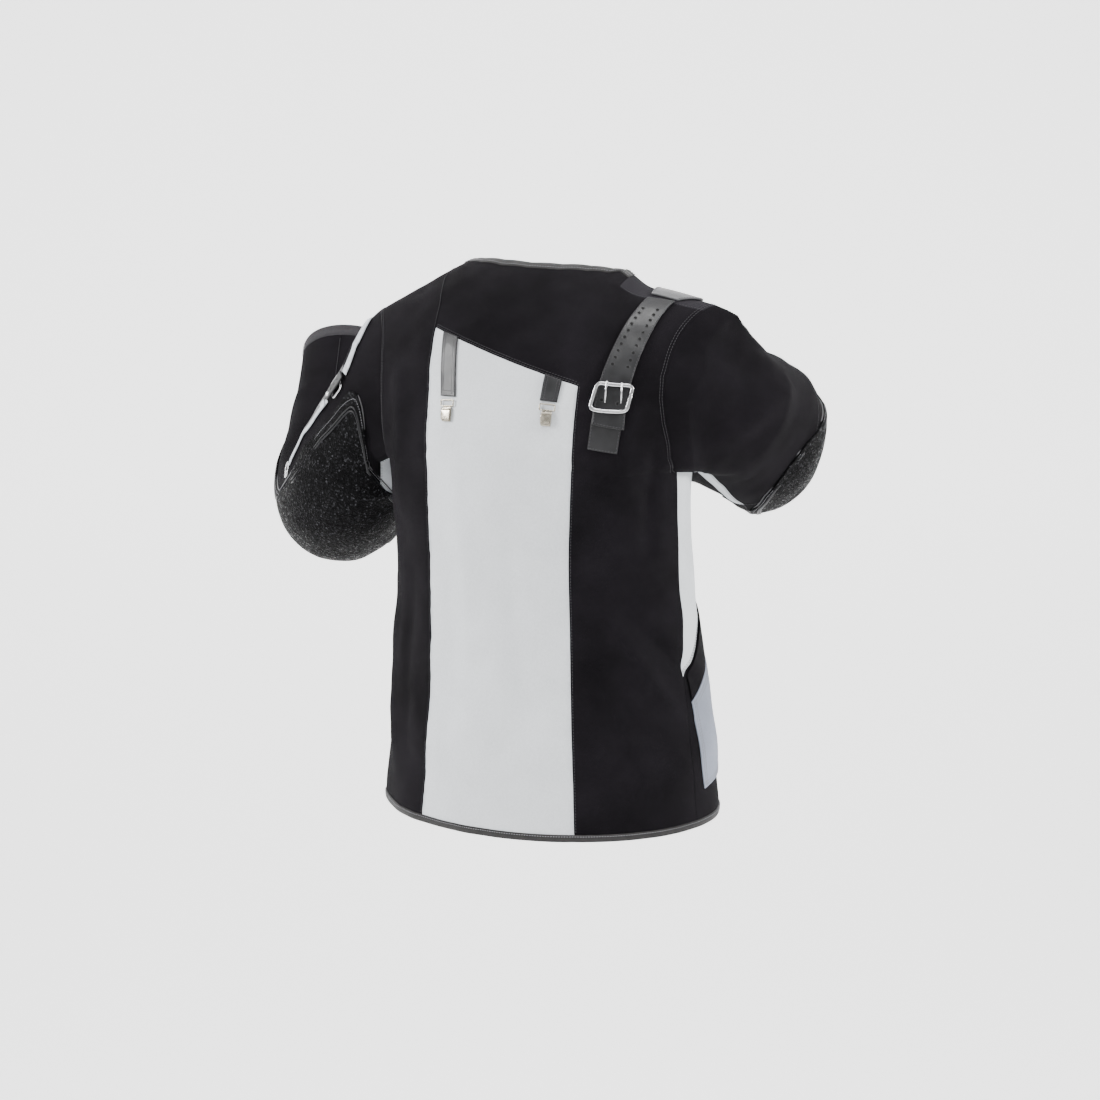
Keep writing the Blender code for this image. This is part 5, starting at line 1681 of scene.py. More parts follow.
def seat_on(trunk: Trunk, half: Half, x: float, level: float, lift: float) -> Seat:
    """Returns a frame on the trunk.

    Args:
        trunk: the surface.
        half: back or front.
        x: place across.
        level: the level.
        lift: off the cloth's middle.

    Returns:
        The frame.
    """
    across = np.array([x - 0.001, x + 0.001, x, x])
    levels = np.array([level, level, level - 0.005, level + 0.005])
    points, _ = trunk.lifted(half, trunk.angle_of(half, across, levels), levels)
    right = unit(points[1] - points[0]) * half.value
    out = unit(np.cross(right, points[3] - points[2]))
    if out[1] * half.value < 0:
        out, right = -out, -right
    return Seat(points.mean(axis=0) + out * lift, right, np.cross(out, right), out)


def rounded(width: float, height: float, power: float = 0.25, count: int = 40) -> Array:
    """Returns a superellipse outline x = w/2 cos^p, y = h/2 sin^p.

    Args:
        width: across.
        height: up.
        power: small for square corners.
        count: how many points.

    Returns:
        Count by 2.
    """
    turn = np.linspace(0, 2 * math.pi, count + 1)[:-1]
    x, y = np.cos(turn), np.sin(turn)
    return np.stack([np.sign(axis) * np.abs(axis) ** power * size / 2
                     for axis, size in ((x, width), (y, height))], axis=-1)


def plate(maker: Maker, name: str, seat: Seat, outline: Array, thickness: float, finish: str, centre: Array,
          body: Body = Body.JACKET, replaces: str | None = None) -> bpy.types.Object:
    """Makes a plate with softened rims from an outline, as five scaled copies through its thickness.

    Args:
        maker: makes pieces.
        name: the piece's name.
        seat: its frame.
        outline: K by 2 about its middle.
        thickness: in metres.
        finish: the finish's name.
        centre: the outline's middle in the frame, X, Y, Z.
        body: the body that it moves with.
        replaces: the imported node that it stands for.

    Returns:
        The object.
    """
    heights = np.array([-0.5, -0.36, 0.0, 0.36, 0.5]) * thickness
    line = seat.at(np.full(5, centre[0]), np.full(5, centre[1]), centre[2] + heights)
    size = np.array([0.93, 1.0, 1.0, 1.0, 0.93])
    profile = outline * np.array((1.0, -1.0))
    return maker.tube(name, line, size, finish, profile=profile, out=np.broadcast_to(seat.right, (5, 3)),
                      body=body, replaces=replaces)


def turned(maker: Maker, name: str, places: Array, outs: Array, profile: Table, finish: str, sides: int = 18,
           replaces: tuple[str, ...] = ()) -> bpy.types.Object:
    """Makes round things by turning one profile about each outward direction.

    The points are p + h n + r (a cos t + b sin t) for each (r, h) of the profile.

    Args:
        maker: makes pieces.
        name: the piece's name.
        places: N by 3.
        outs: N by 3.
        profile: rows of radius and height, from the outside of the base to the middle of the top.
        finish: the finish's name.
        sides: points round it.
        replaces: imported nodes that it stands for.

    Returns:
        The object.
    """
    outs = unit(outs)
    first = unit(np.cross(outs, np.array((0.02, 0.05, 1.0))))
    second = np.cross(outs, first)
    turn = np.linspace(0, 2 * math.pi, sides + 1)[:-1]
    ring = first[:, None] * np.cos(turn)[None, :, None] + second[:, None] * np.sin(turn)[None, :, None]
    rows = [places[:, None] + outs[:, None] * height + ring * max(radius, 1e-5) for radius, height in profile]
    points = np.stack(rows, axis=1)
    step = np.arange(sides)
    after = (step + 1) % sides
    ring = np.stack([step, after, sides + after, sides + step], axis=-1)
    quads = np.concatenate([row * sides + ring for row in range(len(profile) - 1)])
    faces = (np.arange(len(places))[:, None, None] * sides * len(profile) + quads[None]).reshape(-1, 4)
    item = maker.add(name, points.reshape(-1, 3), faces, finish)
    if replaces:
        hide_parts(*replaces)
    return item


@dataclass
class Pocket:
    """The pocket on the wearer's right front, its welt, and their stitching."""

    trunk: Trunk
    layers: Layers
    table: Table = ((50.0, 0.122, 0.520), (63.0, 0.118, 0.478), (76.5, 0.114, 0.425),
                    (88.0, 0.108, 0.390), (99.5, 0.100, 0.352))
    lean: float = 3.5
    welt_step: float = 0.006
    fullness: float = 0.0028
    under: str = "front_lower_right_cloth"

    def surface(self, across: Array, up: Array, lift: float = 0.0) -> tuple[Array, Array]:
        """Returns points of the pocket, which swells as sin(pi u) sin(pi v).

        Args:
            across: 0 to 1 from the front to the rear.
            up: 0 to 1.
            lift: beyond the pocket's own place.

        Returns:
            Points and outward directions.
        """
        angle = self.table[0][0] + (self.table[-1][0] - self.table[0][0]) * across
        low = read(self.table, angle, 1)
        high = read(self.table, angle, 2)
        swell = self.fullness * np.sin(np.pi * across) ** 0.8 * np.sin(np.pi * np.clip(up, 0, 1)) ** 0.8
        return self.trunk.lifted(Half.FRONT, angle - (1 - up) * self.lean * across,
                                 low * (1 - up) + high * up,
                                 self.layers.stand(self.layers.pocket) + swell + lift)

    def build(self, maker: Maker) -> None:
        """Makes the pocket and the welt."""
        across, up = np.meshgrid(np.linspace(0, 1, 70), np.linspace(0, 1, 60))
        points, _ = self.surface(across, up)
        maker.laid("pocket_cloth", points, "grey", self.layers.pocket, "pocket", turned_over=True)
        angle = np.linspace(self.table[0][0], self.table[-1][0], 70)[None, :]
        high = read(self.table, angle, 2) + self.welt_step
        top = read(self.trunk.lower_front_edge, angle, 1) - self.welt_step
        share = np.linspace(0, 1, 16)[:, None]
        points, _ = self.trunk.lifted(Half.FRONT, angle + 0 * share, high * (1 - share) + top * share,
                                      self.layers.stand(self.layers.pocket) + self.layers.sag)
        maker.laid("pocket_welt_cloth", points, "black", self.layers.pocket, "pocket_welt",
                   turned_over=True)
        edge = np.linspace(0.02, 0.98, 120)
        lines = []
        for inset in (0.030, 0.060):
            for u, v in ((inset, edge), (1 - inset, edge), (edge, inset), (edge, 1 - inset * 1.4)):
                u, v = np.broadcast_arrays(u, v)
                lines.append(self.surface(u, v, self.layers.pocket / 2 + 0.0001))
        maker.stitches("pocket_stitches", lines, "thread_grey")


@dataclass
class Closure:
    """The placket down the front with its buttons and buttonholes."""

    trunk: Trunk
    layers: Layers
    half_width: float = 0.018
    low: float = 0.026
    high: float = 1.365
    levels: tuple[float, ...] = (0.14, 0.39, 0.64, 0.89, 1.14)
    radius: float = 0.0100
    thickness: float = 0.0035
    eye_spread: float = 0.0017

    def build(self, maker: Maker) -> None:
        """Makes the placket, the buttons and their holes."""
        lift = self.layers.stand(self.layers.cloth)
        edges = [tuple((side * self.half_width, level) for level in np.linspace(self.low, self.high, 9))
                 for side in (1, -1)]
        points, out = strip(self.trunk, Half.FRONT, edges, 200, 14, lift)
        maker.laid("front_placket_cloth", points, "black", self.layers.cloth, "front_placket")
        top = self.layers.cloth / 2
        lines = [(points[2:-2, place] + out[2:-2, place] * top, out[2:-2, place]) for place in (1, 12)]
        maker.stitches("placket_stitches", lines, "thread_black")
        seats = [seat_on(self.trunk, Half.FRONT, 0.0, level,
                         self.layers.stand(self.layers.cloth, self.thickness) + self.layers.sag)
                 for level in self.levels]
        places, outs = np.array([seat.middle for seat in seats]), np.array([seat.out for seat in seats])
        t, r = self.thickness / 2, self.radius
        profile = ((0, -t), (r * 0.8, -t), (r * 0.97, -t * 0.5), (r, 0), (r * 0.97, t * 0.6), (r * 0.88, t),
                   (r * 0.76, t * 0.9), (r * 0.66, t * 0.35), (r * 0.3, t * 0.25), (0, t * 0.25))
        turned(maker, "front_buttons", places, outs, profile, "button", 32,
               tuple(f"button_{number}" for number in range(1, len(self.levels) + 1)))
        across, up = np.array((1, -1, 1, -1)) * self.eye_spread, np.array((1, 1, -1, -1)) * self.eye_spread
        holes = np.concatenate([seat.at(across, up, t * 0.3) for seat in seats])
        turned(maker, "button_eyes", holes, np.repeat(outs, 4, axis=0),
               ((0.0007, -0.0001), (0.0006, 0.0001), (0, 0.0001)), "hollow", 10)
        lines = []
        for seat in seats:
            for side in (1, -1):
                for place in (-0.0012, 0.0012):
                    across = np.linspace(0.0112, 0.0145, 8) * side
                    lines.append((seat.at(across, np.full(8, place), -t - 0.0002),
                                  np.broadcast_to(seat.out, (8, 3))))
        maker.stitches("buttonhole_stitches", lines, "thread_black", 0.0008, 0.0007, 0.0003)


@dataclass
class ShoulderStrap:
    """The holed leather strap over the right shoulder, its anchor and its buckle."""

    trunk: Trunk
    layers: Layers
    back: tuple[Table, ...] = (((-0.1464, 1.812), (-0.1190, 1.335), (-0.1145, 1.175)),
                               ((-0.1779, 1.835), (-0.1510, 1.325), (-0.1460, 1.165)))
    anchor: tuple[Table, ...] = (((-0.1180, 1.310), (-0.1106, 1.090)), ((-0.1495, 1.300), (-0.1400, 1.080)))
    over: Table = ((1, -0.1462, -0.1800, 1.862), (1, -0.1440, -0.1890, 1.930), (1, -0.1415, -0.1990, 2.0),
                   (-1, -0.1400, -0.1990, 1.930), (-1, -0.1380, -0.1930, 1.840),
                   (-1, -0.1360, -0.1800, 1.720), (-1, -0.1340, -0.1700, 1.600))
    raised: tuple[float, float] = (0.28, 0.46)
    pairs: int = 10
    hole_span: tuple[float, float] = (0.10, 0.405)
    hole_rows: tuple[float, float] = (0.22, 0.74)
    hole: Table = ((0.00195, 0.00002), (0.0017, 0.00006), (0.0, 0.00006))
    hole_lip: Table = ((0.0027, -0.0001), (0.0025, 0.00018), (0.0022, 0.00026), (0.0019, 0.00018),
                       (0.0017, -0.0001))
    buckle: tuple[float, float] = (-0.1325, 1.277)
    half_width: float = 0.0185
    half_level: float = 0.050
    wire: float = 0.0019
    prong: float = 0.0012
    prong_spread: float = 0.0080
    prong_levels: float = 0.076
    slant: float = 0.25
    lean: float = 0.0030
    rim: float = 0.0022
    groove: float = 0.0006
    under: str = "back_right_yoke_cloth"

    def build(self, maker: Maker) -> None:
        """Makes the leather pieces, the holes, the buckle and the stitching."""
        layers = self.layers
        rows = []
        for facing, inner, outer, level in self.over:
            half = Half(int(facing))
            places = np.linspace(inner, outer, 22)
            rows.append(self.trunk.lifted(half, self.trunk.angle_of(half, places, level), min(level, 1.99),
                                          layers.stand(layers.leather) + layers.sag)[0])
        rows = np.array(rows)
        reading = np.linspace(0, len(rows) - 1, 110)
        number = np.arange(len(rows))
        points = np.stack([np.stack([smooth_between(reading, number, rows[:, place, axis])
                                     for axis in range(3)], -1) for place in range(22)], axis=1)
        # The strap over the shoulder is drawn in the lighter grey leather, a painted sheen on its black
        # leather.
        maker.laid("strap_over_shoulder_leather", points, "leather_edge", layers.leather,
                   "strap_over_shoulder", layers.leather_edge)
        out = unit(np.cross(np.gradient(points, axis=0), np.gradient(points, axis=1)))
        out *= np.sign(out[55, 11, 2])
        top = layers.leather / 2
        lines = [(points[2:-2, place] + out[2:-2, place] * top, out[2:-2, place]) for place in (1, 20)]
        for name, edges, step, under in (("anchor", self.anchor, 0.0, layers.stand(layers.leather)),
                                         ("back", self.back, layers.leather + layers.gap,
                                          layers.stand(layers.leather) + layers.sag)):
            lift = under + step * ramp(np.linspace(0, 1, 150), *self.raised)[:, None]
            points, out = strip(self.trunk, Half.BACK, edges, 150, 24, lift)
            maker.laid(f"strap_{name}_leather", points, "leather", layers.leather, "strap_" + name,
                       layers.leather_edge)
            lines += [(points[2:-2, place] + out[2:-2, place] * top, out[2:-2, place]) for place in (1, 22)]
            lines.append((points[-4, 1:-1] + out[-4, 1:-1] * top, out[-4, 1:-1]))
        maker.stitches("strap_stitches", lines, "thread_black", length=0.0024)
        self.punch(maker, points, out)
        self.fasten(maker)

    def punch(self, maker: Maker, points: Array, out: Array) -> None:
        """Makes the punched holes as dark dishes with a thin raised lip.

        Args:
            maker: makes pieces.
            points: the strap's grid.
            out: its outward directions.
        """
        shares = np.append(np.linspace(*self.hole_span, self.pairs), 0.635)
        rows = np.round(shares * (len(points) - 1)).astype(int)
        columns = np.round(np.array(self.hole_rows) * (points.shape[1] - 1)).astype(int)
        row, place = (values.ravel() for values in np.meshgrid(rows, columns, indexing="ij"))
        outs = out[row, place]
        middles = points[row, place] + outs * self.layers.leather / 2
        turned(maker, "strap_holes", middles, outs, self.hole, "hollow", 20)
        turned(maker, "strap_hole_lips", middles, outs, self.hole_lip, "leather", 20)

    def on_back(self, place: Array, level: Array, lift: Array | float) -> tuple[Array, Array]:
        """Returns points of the back at places across and levels."""
        return self.trunk.lifted(Half.BACK, self.trunk.angle_of(Half.BACK, place, level), level, lift)

    def fasten(self, maker: Maker) -> None:
        """Makes the buckle's grooved frame, its bar and its two prongs."""
        layers = self.layers
        turn = np.linspace(0, 2 * math.pi, 161)[:-1]
        across, lengthwise = (rounded(2, 2, 0.28, 160)[:, axis] for axis in (0, 1))
        across = across * self.half_width
        level = self.buckle[1] + self.half_level * lengthwise - self.slant * across
        rise = layers.stand(layers.leather, layers.leather, 2 * self.wire) + 2 * layers.sag
        line, out = self.on_back(self.buckle[0] + across - self.lean * lengthwise, level, rise)
        line, out = even_loop(line, out)
        side = self.rim * np.cos(turn[::8])
        groove = 1 - 0.5 * np.exp(-(side / self.groove) ** 2)
        up = np.sin(turn[::8])
        profile = np.stack([self.wire * up * np.where(up > 0, groove, 0.8), side], -1)
        maker.tube("strap_buckle_frame", line, 1.0, "steel", closed=True, profile=profile, out=out,
                   replaces="strap_buckle")
        high = rise + self.wire + layers.gap + self.prong
        low = layers.stand(layers.leather, layers.leather, 2 * self.prong) + 2 * layers.sag
        reading = np.linspace(0, 1, 24)
        fall = high + (low - high) * ramp(reading, 0.35, 1.0)
        top = self.buckle[1] + self.half_level + 0.008
        for name, way in (("inner", 1), ("outer", -1)):
            place = np.full(24, self.buckle[0] + way * self.prong_spread - 0.002)
            levels = top - self.slant * way * self.prong_spread - self.prong_levels * reading
            line, out = self.on_back(place, levels, fall)
            maker.tube("strap_prong_" + name + "_pin", line, self.prong * (1 - 0.35 * reading ** 3), "steel",
                       sides=12, out=out, replaces="strap_prong_" + name)


@dataclass
class TabAndClip:
    """A leather tab on the back with a clip under it, whose lever swings on a pin."""

    trunk: Trunk
    layers: Layers
    side: Side
    edges: tuple[Table, ...]
    place: tuple[float, float]
    width: float = 0.0120
    height: float = 0.0170
    thickness: float = 0.0016
    loop: tuple[float, float] = (0.0180, 0.0070)
    loop_wire: float = 0.0008
    loop_lift: float = 0.0004
    pin: float = 0.0012
    pin_stand: float = 0.00195
    lever: tuple[float, float, float] = (0.0130, 0.0125, 0.0010)
    lever_start: float = 0.0015
    lever_taper: float = 0.32

    def build(self, maker: Maker) -> None:
        """Makes the tab, the clip and the lever."""
        layers, side = self.layers, self.side.value
        points, out = strip(self.trunk, Half.BACK, self.edges, 50, 24, layers.stand(layers.leather))
        maker.laid(f"tab_{side}_leather", points, "leather", layers.leather, "tab_" + side,
                   layers.leather_edge)
        lines = []
        for inset, place in ((2, 2), (2, 5), (2, 18), (2, 21)):
            lines.append((points[inset:-inset, place] + out[inset:-inset, place] * layers.leather / 2,
                          out[inset:-inset, place]))
        for row in (2, -5):
            lines.append((points[row, 2:-2] + out[row, 2:-2] * layers.leather / 2, out[row, 2:-2]))
        maker.stitches(f"tab_{side}_stitches", lines, "thread_black", pitch=0.003, length=0.0021)
        lift = layers.cloth / 2 + 2 * layers.gap + self.thickness / 2
        seat = seat_on(self.trunk, Half.BACK, *self.place, lift)
        plate(maker, f"clip_{side}_back_plate", seat, rounded(self.width, self.height, 0.12), self.thickness,
              "nickel", np.zeros(3), replaces="clip_plate_" + side)
        width, height = self.loop
        low = self.height / 2 + layers.gap + self.loop_wire
        line = rounded(width, height, 0.2, 60) + np.array((0.0, low + height / 2))
        maker.tube(f"clip_{side}_wire_loop", seat.at(line[:, 0], line[:, 1], self.loop_lift), self.loop_wire,
                   "nickel", closed=True, out=np.broadcast_to(seat.out, (60, 3)),
                   replaces="clip_loop_" + side)
        up, out_at = self.height / 2 - 0.0022, self.thickness / 2 + self.pin_stand
        reading = np.linspace(-0.5, 0.5, 9)
        maker.tube(f"clip_{side}_hinge_pin", seat.at(reading * self.width, np.full(9, up), out_at), self.pin,
                   "nickel", sides=16, out=np.broadcast_to(seat.out, (9, 3)), replaces="clip_pin_" + side)
        lever_width, lever_height, lever_thickness = self.lever
        outline = rounded(lever_width, lever_height, 0.16, 48)
        narrowed = 1 - self.lever_taper * (outline[:, 1] / (lever_height / 2)) ** 4
        outline[:, 0] *= np.where(outline[:, 1] < 0, narrowed, 1.0)
        body = Body.LEVER_LEFT if self.side is Side.LEFT else Body.LEVER_RIGHT
        middle = np.array((0.0, up - self.lever_start - lever_height / 2, out_at))
        plate(maker, f"clip_{side}_lever_plate", seat, outline, lever_thickness, "nickel", middle, body,
              "clip_lever_" + side)
        groove = np.linspace(-0.36, 0.36, 9) * lever_width
        rise = middle[2] + lever_thickness / 2
        for number, drop in enumerate((0.22, 0.34), 1):
            maker.tube(f"clip_{side}_lever_rib_{number}",
                       seat.at(groove, np.full(9, middle[1] - lever_height * drop), rise), 0.00028, "nickel",
                       sides=8, body=body, out=np.broadcast_to(seat.out, (9, 3)))


@dataclass
class Sling:
    """The sling strap on the left sleeve, with its ring, holed tab, rivet, keeper and hook."""

    form: SleeveForm
    layers: Layers
    upper: Table = ((0.020, -128), (0.045, -104), (0.070, -94), (0.095, -91))
    lower: Table = ((0.168, -91), (0.220, -92), (0.300, -93), (0.375, -91))
    web: float = 0.0014
    web_edge: float = 0.0005
    tab: float = 0.0020
    rivet: Table = ((0.0032, 0.0), (0.0031, 0.0007), (0.0024, 0.0014), (0.0012, 0.0018), (0.0, 0.0019))
    under: str = "sleeve_left_upper_back_cloth"
    upper_width: float = 0.014
    lower_width: float = 0.008
    wire: float = 0.0013
    ring: tuple[float, float, float, float] = (0.130, -91.0, 0.0130, 0.0100)
    hook: tuple[float, float, float, float] = (0.402, -90.0, 0.0090, 0.0070)

    def along(self, path: Table, width: float, count: int, lift: float) -> tuple[Array, Array]:
        """Returns a strip's grid on the sleeve and its outward directions.

        Args:
            path: rows of way and turn in degrees.
            width: across, in metres.
            count: rows of points.
            lift: off the cloth's middle.

        Returns:
            Points and directions, both rows by 9 by 3.
        """
        reading, steps = np.linspace(0, 1, count), np.linspace(0, 1, len(path))
        middle, out = self.form.lifted(smooth_between(reading, steps, column(path, 0)),
                                       np.radians(smooth_between(reading, steps, column(path, 1))), lift)
        side = unit(np.cross(out, np.gradient(middle, axis=0)))
        share = np.linspace(-0.5, 0.5, 9)[None, :, None]
        return middle[:, None] + side[:, None] * share * width, np.broadcast_to(out[:, None], (count, 9, 3))

    def build(self, maker: Maker) -> None:
        """Makes all its pieces."""
        lift = self.layers.stand(self.web) + 0.0010
        lines = []
        for name, path, width in (("upper", self.upper, self.upper_width),
                                  ("lower", self.lower, self.lower_width)):
            points, out = self.along(path, width, 90, lift)
            maker.laid(f"sling_strap_{name}_web", points, "webbing", self.web, "sling_strap_" + name,
                       self.web_edge)
            lines += [(points[:, place] + out[:, place] * self.web / 2, out[:, place]) for place in (1, 7)]
        maker.stitches("sling_stitches", lines, "thread_white", pitch=0.003, length=0.002)
        for name, (way, turn, width, height) in (("ring", self.ring), ("hook", self.hook)):
            seat = self.seat(way, turn, self.layers.stand(2 * self.wire) + 0.0006)
            line = rounded(2 * width, 2 * height, 0.3 if name == "ring" else 0.6, 72)
            maker.tube("sling_wire_" + name, seat.at(line[:, 0], line[:, 1]), self.wire, "steel", closed=True,
                       out=np.broadcast_to(seat.out, (72, 3)), sides=12, replaces="sling_" + name)
        tab, out = self.along(((0.098, -91), (0.162, -91)), 0.0135, 50, lift + 0.0034)
        maker.laid("sling_holed_tab", tab, "leather", self.tab, None)
        middle, outs = tab[[12, 22, 32], 4], out[[12, 22, 32], 4]
        turned(maker, "sling_tab_holes", middle + outs * self.tab / 2, outs,
               ((0.0013, 0.00002), (0.0011, 0.00006), (0.0, 0.00006)), "hollow", 14)
        turned(maker, "sling_rivet", tab[[43], 4] + out[[43], 4] * self.tab / 2, out[[43], 4],
               self.rivet, "steel", 24)
        keeper, out = self.along(((0.176, -91), (0.192, -91)), 0.0125, 16, lift + 0.0018)
        maker.laid("sling_keeper", keeper, "webbing", self.web, None, declare=False)
        band, out = self.along(((0.10, -97.5), (0.22, -98), (0.32, -98.5), (0.40, -97)), 0.0105, 90, 0.0024)
        maker.laid("sling_backing_band", band, "leather", self.web, None)

    def seat(self, way: float, turn: float, lift: float) -> Seat:
        """Returns a frame on the sleeve, up along the strap.

        Args:
            way: way along the sleeve.
            turn: degrees round it.
            lift: off the cloth's middle.

        Returns:
            The frame.
        """
        points, out = self.form.lifted(np.array((way - 0.01, way, way + 0.01)), math.radians(turn), lift)
        run = unit(points[2] - points[0])
        side = unit(np.cross(out[1], run))
        return Seat(points[1], side, np.cross(np.cross(side, run), side), np.cross(side, run))


@dataclass
class Stitching:
    """The seams' stitches on the trunk and the sleeves."""

    cloth: TrunkCloth
    lift: float = 0.0011
    binding_lift: float = 0.0010

    def line(self, half: Half, rows: Array, columns: Array, aside: float = 0.0) -> tuple[Array, Array]:
        """Reads a line off the folded grid at rows and columns of the coarse one, moved aside.

        Args:
            half: back or front.
            rows: places in rows.
            columns: places in columns.
            aside: metres towards the cross product of the outward direction and the run.

        Returns:
            Points and outward directions.
        """
        points, out = self.cloth.fine[half][:2]
        steps = self.cloth.trunk.steps
        rows, columns = np.broadcast_arrays(np.multiply(rows, float(steps)),
                                            np.multiply(columns, float(steps)))
        r = np.clip(rows.astype(int), 0, points.shape[0] - 2)
        c = np.clip(columns.astype(int), 0, points.shape[1] - 2)
        s, t = (rows - r)[:, None], (columns - c)[:, None]
        middle, normal = ((grid[r, c] * (1 - s) + grid[r + 1, c] * s) * (1 - t)
                          + (grid[r, c + 1] * (1 - s) + grid[r + 1, c + 1] * s) * t for grid in (points, out))
        normal = unit(normal)
        side = unit(np.cross(normal, np.gradient(middle, axis=0)))
        return middle + normal * self.lift + side * aside, normal

    def build(self, maker: Maker) -> None:
        """Makes the stitches of every seam."""
        trunk = self.cloth.trunk
        count = self.cloth.coarse_back[0].shape[1]
        last, top = count - 1, len(trunk.rows) - 1
        first, yoke = trunk.rows.index(1.0), trunk.rows.index(trunk.yoke_row)
        lower, seam = trunk.rows.index(trunk.lower_front_row), top - 3
        left, right = trunk.left_columns, count - 1 - trunk.side_columns - 1
        n = 240
        back, front = Half.BACK, Half.FRONT
        up, down = np.linspace(1.05, yoke, n), np.linspace(1.05, top - 1.1, n)
        across = np.linspace(left, right, n)
        black = [self.line(back, down, left, 0.0022),
                 self.line(back, up, right, -0.0022),
                 self.line(back, yoke, across, 0.0020), self.line(back, yoke, across, 0.0044)]
        white = [self.line(back, up, left, -0.0022), self.line(back, up, right, 0.0022)]
        for half in (back, front):
            for column_at, way in ((0.0, 1), (float(last), -1)):
                aside = 0.0022 * way * -half.value
                edge = black if half is back else white
                edge.append(self.line(half, np.linspace(first, top, n), column_at, aside))
                edge.append(self.line(half, np.linspace(first, top, n), column_at, aside * 2.4))
        black.append(self.line(back, top - 2, np.linspace(0, left, 120), 0.002))
        black.append(self.line(back, top - 2, np.linspace(right + 1, last, 120), 0.002))
        hem = np.linspace(0, last, 2 * n)
        ring = np.linspace(trunk.side_columns, last - trunk.side_columns, n)
        grey = [self.line(half, row, run) for row, run in ((0.78, hem), (top - 0.78, ring))
                for half in (back, front)]
        grey = [(line + out * self.binding_lift, out) for line, out in grey]
        white += [self.line(front, seam, np.linspace(0, trunk.side_columns, 120), -0.002),
                  self.line(front, seam, np.linspace(last - trunk.side_columns, last, 120), -0.002)]
        black += [self.line(front, lower, hem, aside) for aside in (-0.0020, -0.0044)]
        maker.stitches("seam_stitches_black", black, "thread_black")
        maker.stitches("seam_stitches_white", white, "thread_white")
        maker.stitches("binding_stitches", grey, "thread_grey", pitch=0.0032, length=0.0022)

    def sleeve(self, maker: Maker, cloth: SleeveCloth) -> None:
        """Makes one sleeve's stitches.

        Args:
            maker: makes pieces.
            cloth: the sleeve.
        """
        form = cloth.form
        around = np.linspace(0, 2 * math.pi, 200) * form.sense + form.even_turn[0]
        half = len(form.even_turn) // 2
        turns = (form.even_turn[0], form.even_turn[half])
        cuff = cloth.stations[cloth.cuff_station]
        along = np.linspace(0.02, cuff - 0.01, 260)
        elbow = cloth.stations[cloth.elbow]
        rings = ((cuff + 0.006, 0.0021), (cuff + 0.025, 0.0022), (elbow - 0.008, self.lift))
        lines = [form.lifted(np.full(200, way), around, lift) for way, lift in rings]
        for turn in turns:
            lines.append(form.lifted(along, np.full(260, turn + 0.025 * form.sense), self.lift))
        maker.stitches(f"sleeve_{form.side.value}_stitches", lines, "thread_black")
        maker.stitches(f"patch_{form.side.value}_stitches", cloth.edge_stitches, "thread_grey", pitch=0.0034)


BACK_CREASES = (
    Crease(((-0.120, -0.40), (-0.155, -0.46), (-0.200, -0.54)), 0.0045, 0.013),
    Crease(((-0.135, -0.385), (-0.172, -0.44), (-0.205, -0.50)), -0.0034, 0.010),
    Crease(((-0.112, -0.47), (-0.140, -0.53), (-0.172, -0.61)), 0.0028, 0.012),
    Crease(((-0.160, -0.15), (-0.145, -0.21), (-0.150, -0.28)), 0.0034, 0.014),
    Crease(((-0.178, -0.20), (-0.168, -0.26), (-0.165, -0.34)), -0.0028, 0.011),
    Crease(((0.055, -0.22), (0.040, -0.35), (0.050, -0.50)), 0.0026, 0.020),
    Crease(((-0.030, -0.26), (-0.020, -0.40), (-0.045, -0.56)), -0.0026, 0.022),
    Crease(((0.010, -0.46), (-0.025, -0.52), (-0.070, -0.60)), 0.0024, 0.016),
    Crease(((0.085, -0.30), (0.060, -0.42), (0.075, -0.60)), -0.0020, 0.016),
    Crease(((0.150, -0.12), (0.140, -0.20), (0.155, -0.30)), 0.0032, 0.015),
    Crease(((0.120, -0.36), (0.145, -0.47), (0.140, -0.60)), -0.0030, 0.015),
    Crease(((0.165, -0.38), (0.178, -0.48), (0.170, -0.62)), 0.0030, 0.015),
)
FRONT_CREASES = (
    Crease(((0.130, -0.12), (0.110, -0.22), (0.120, -0.34)), 0.0035, 0.016),
    Crease(((0.100, -0.30), (0.080, -0.42), (0.100, -0.58)), -0.0028, 0.017),
    Crease(((0.060, -0.20), (0.090, -0.30), (0.140, -0.38)), 0.0028, 0.014),
    Crease(((-0.120, -0.10), (-0.105, -0.20), (-0.125, -0.32)), 0.0036, 0.016),
    Crease(((-0.090, -0.26), (-0.070, -0.38), (-0.085, -0.50)), -0.0028, 0.018),
    Crease(((-0.150, -0.24), (-0.110, -0.30), (-0.060, -0.33)), 0.0026, 0.013),
    Crease(((0.050, -0.42), (0.100, -0.50), (0.150, -0.62)), 0.0030, 0.015),
)
LEFT_SLEEVE_CREASES = (
    Crease(((0.43, 130), (0.44, 180), (0.43, 230)), -0.0075, 0.008),
    Crease(((0.47, 120), (0.49, 180), (0.47, 240)), 0.0060, 0.010),
    Crease(((0.53, 130), (0.53, 185), (0.54, 235)), -0.0065, 0.008),
    Crease(((0.30, 140), (0.34, 190), (0.30, 235)), 0.0045, 0.012),
    Crease(((0.10, 60), (0.20, 100), (0.34, 130)), 0.0035, 0.014),
    Crease(((0.12, -150), (0.22, -160), (0.33, -170)), -0.0035, 0.012),
    Crease(((0.62, 120), (0.70, 160), (0.74, 200)), 0.0035, 0.012),
    Crease(((0.80, 60), (0.86, 110), (0.84, 160)), -0.0025, 0.010),
    Crease(((0.72, -60), (0.80, -100), (0.78, -150)), 0.0025, 0.012),
)
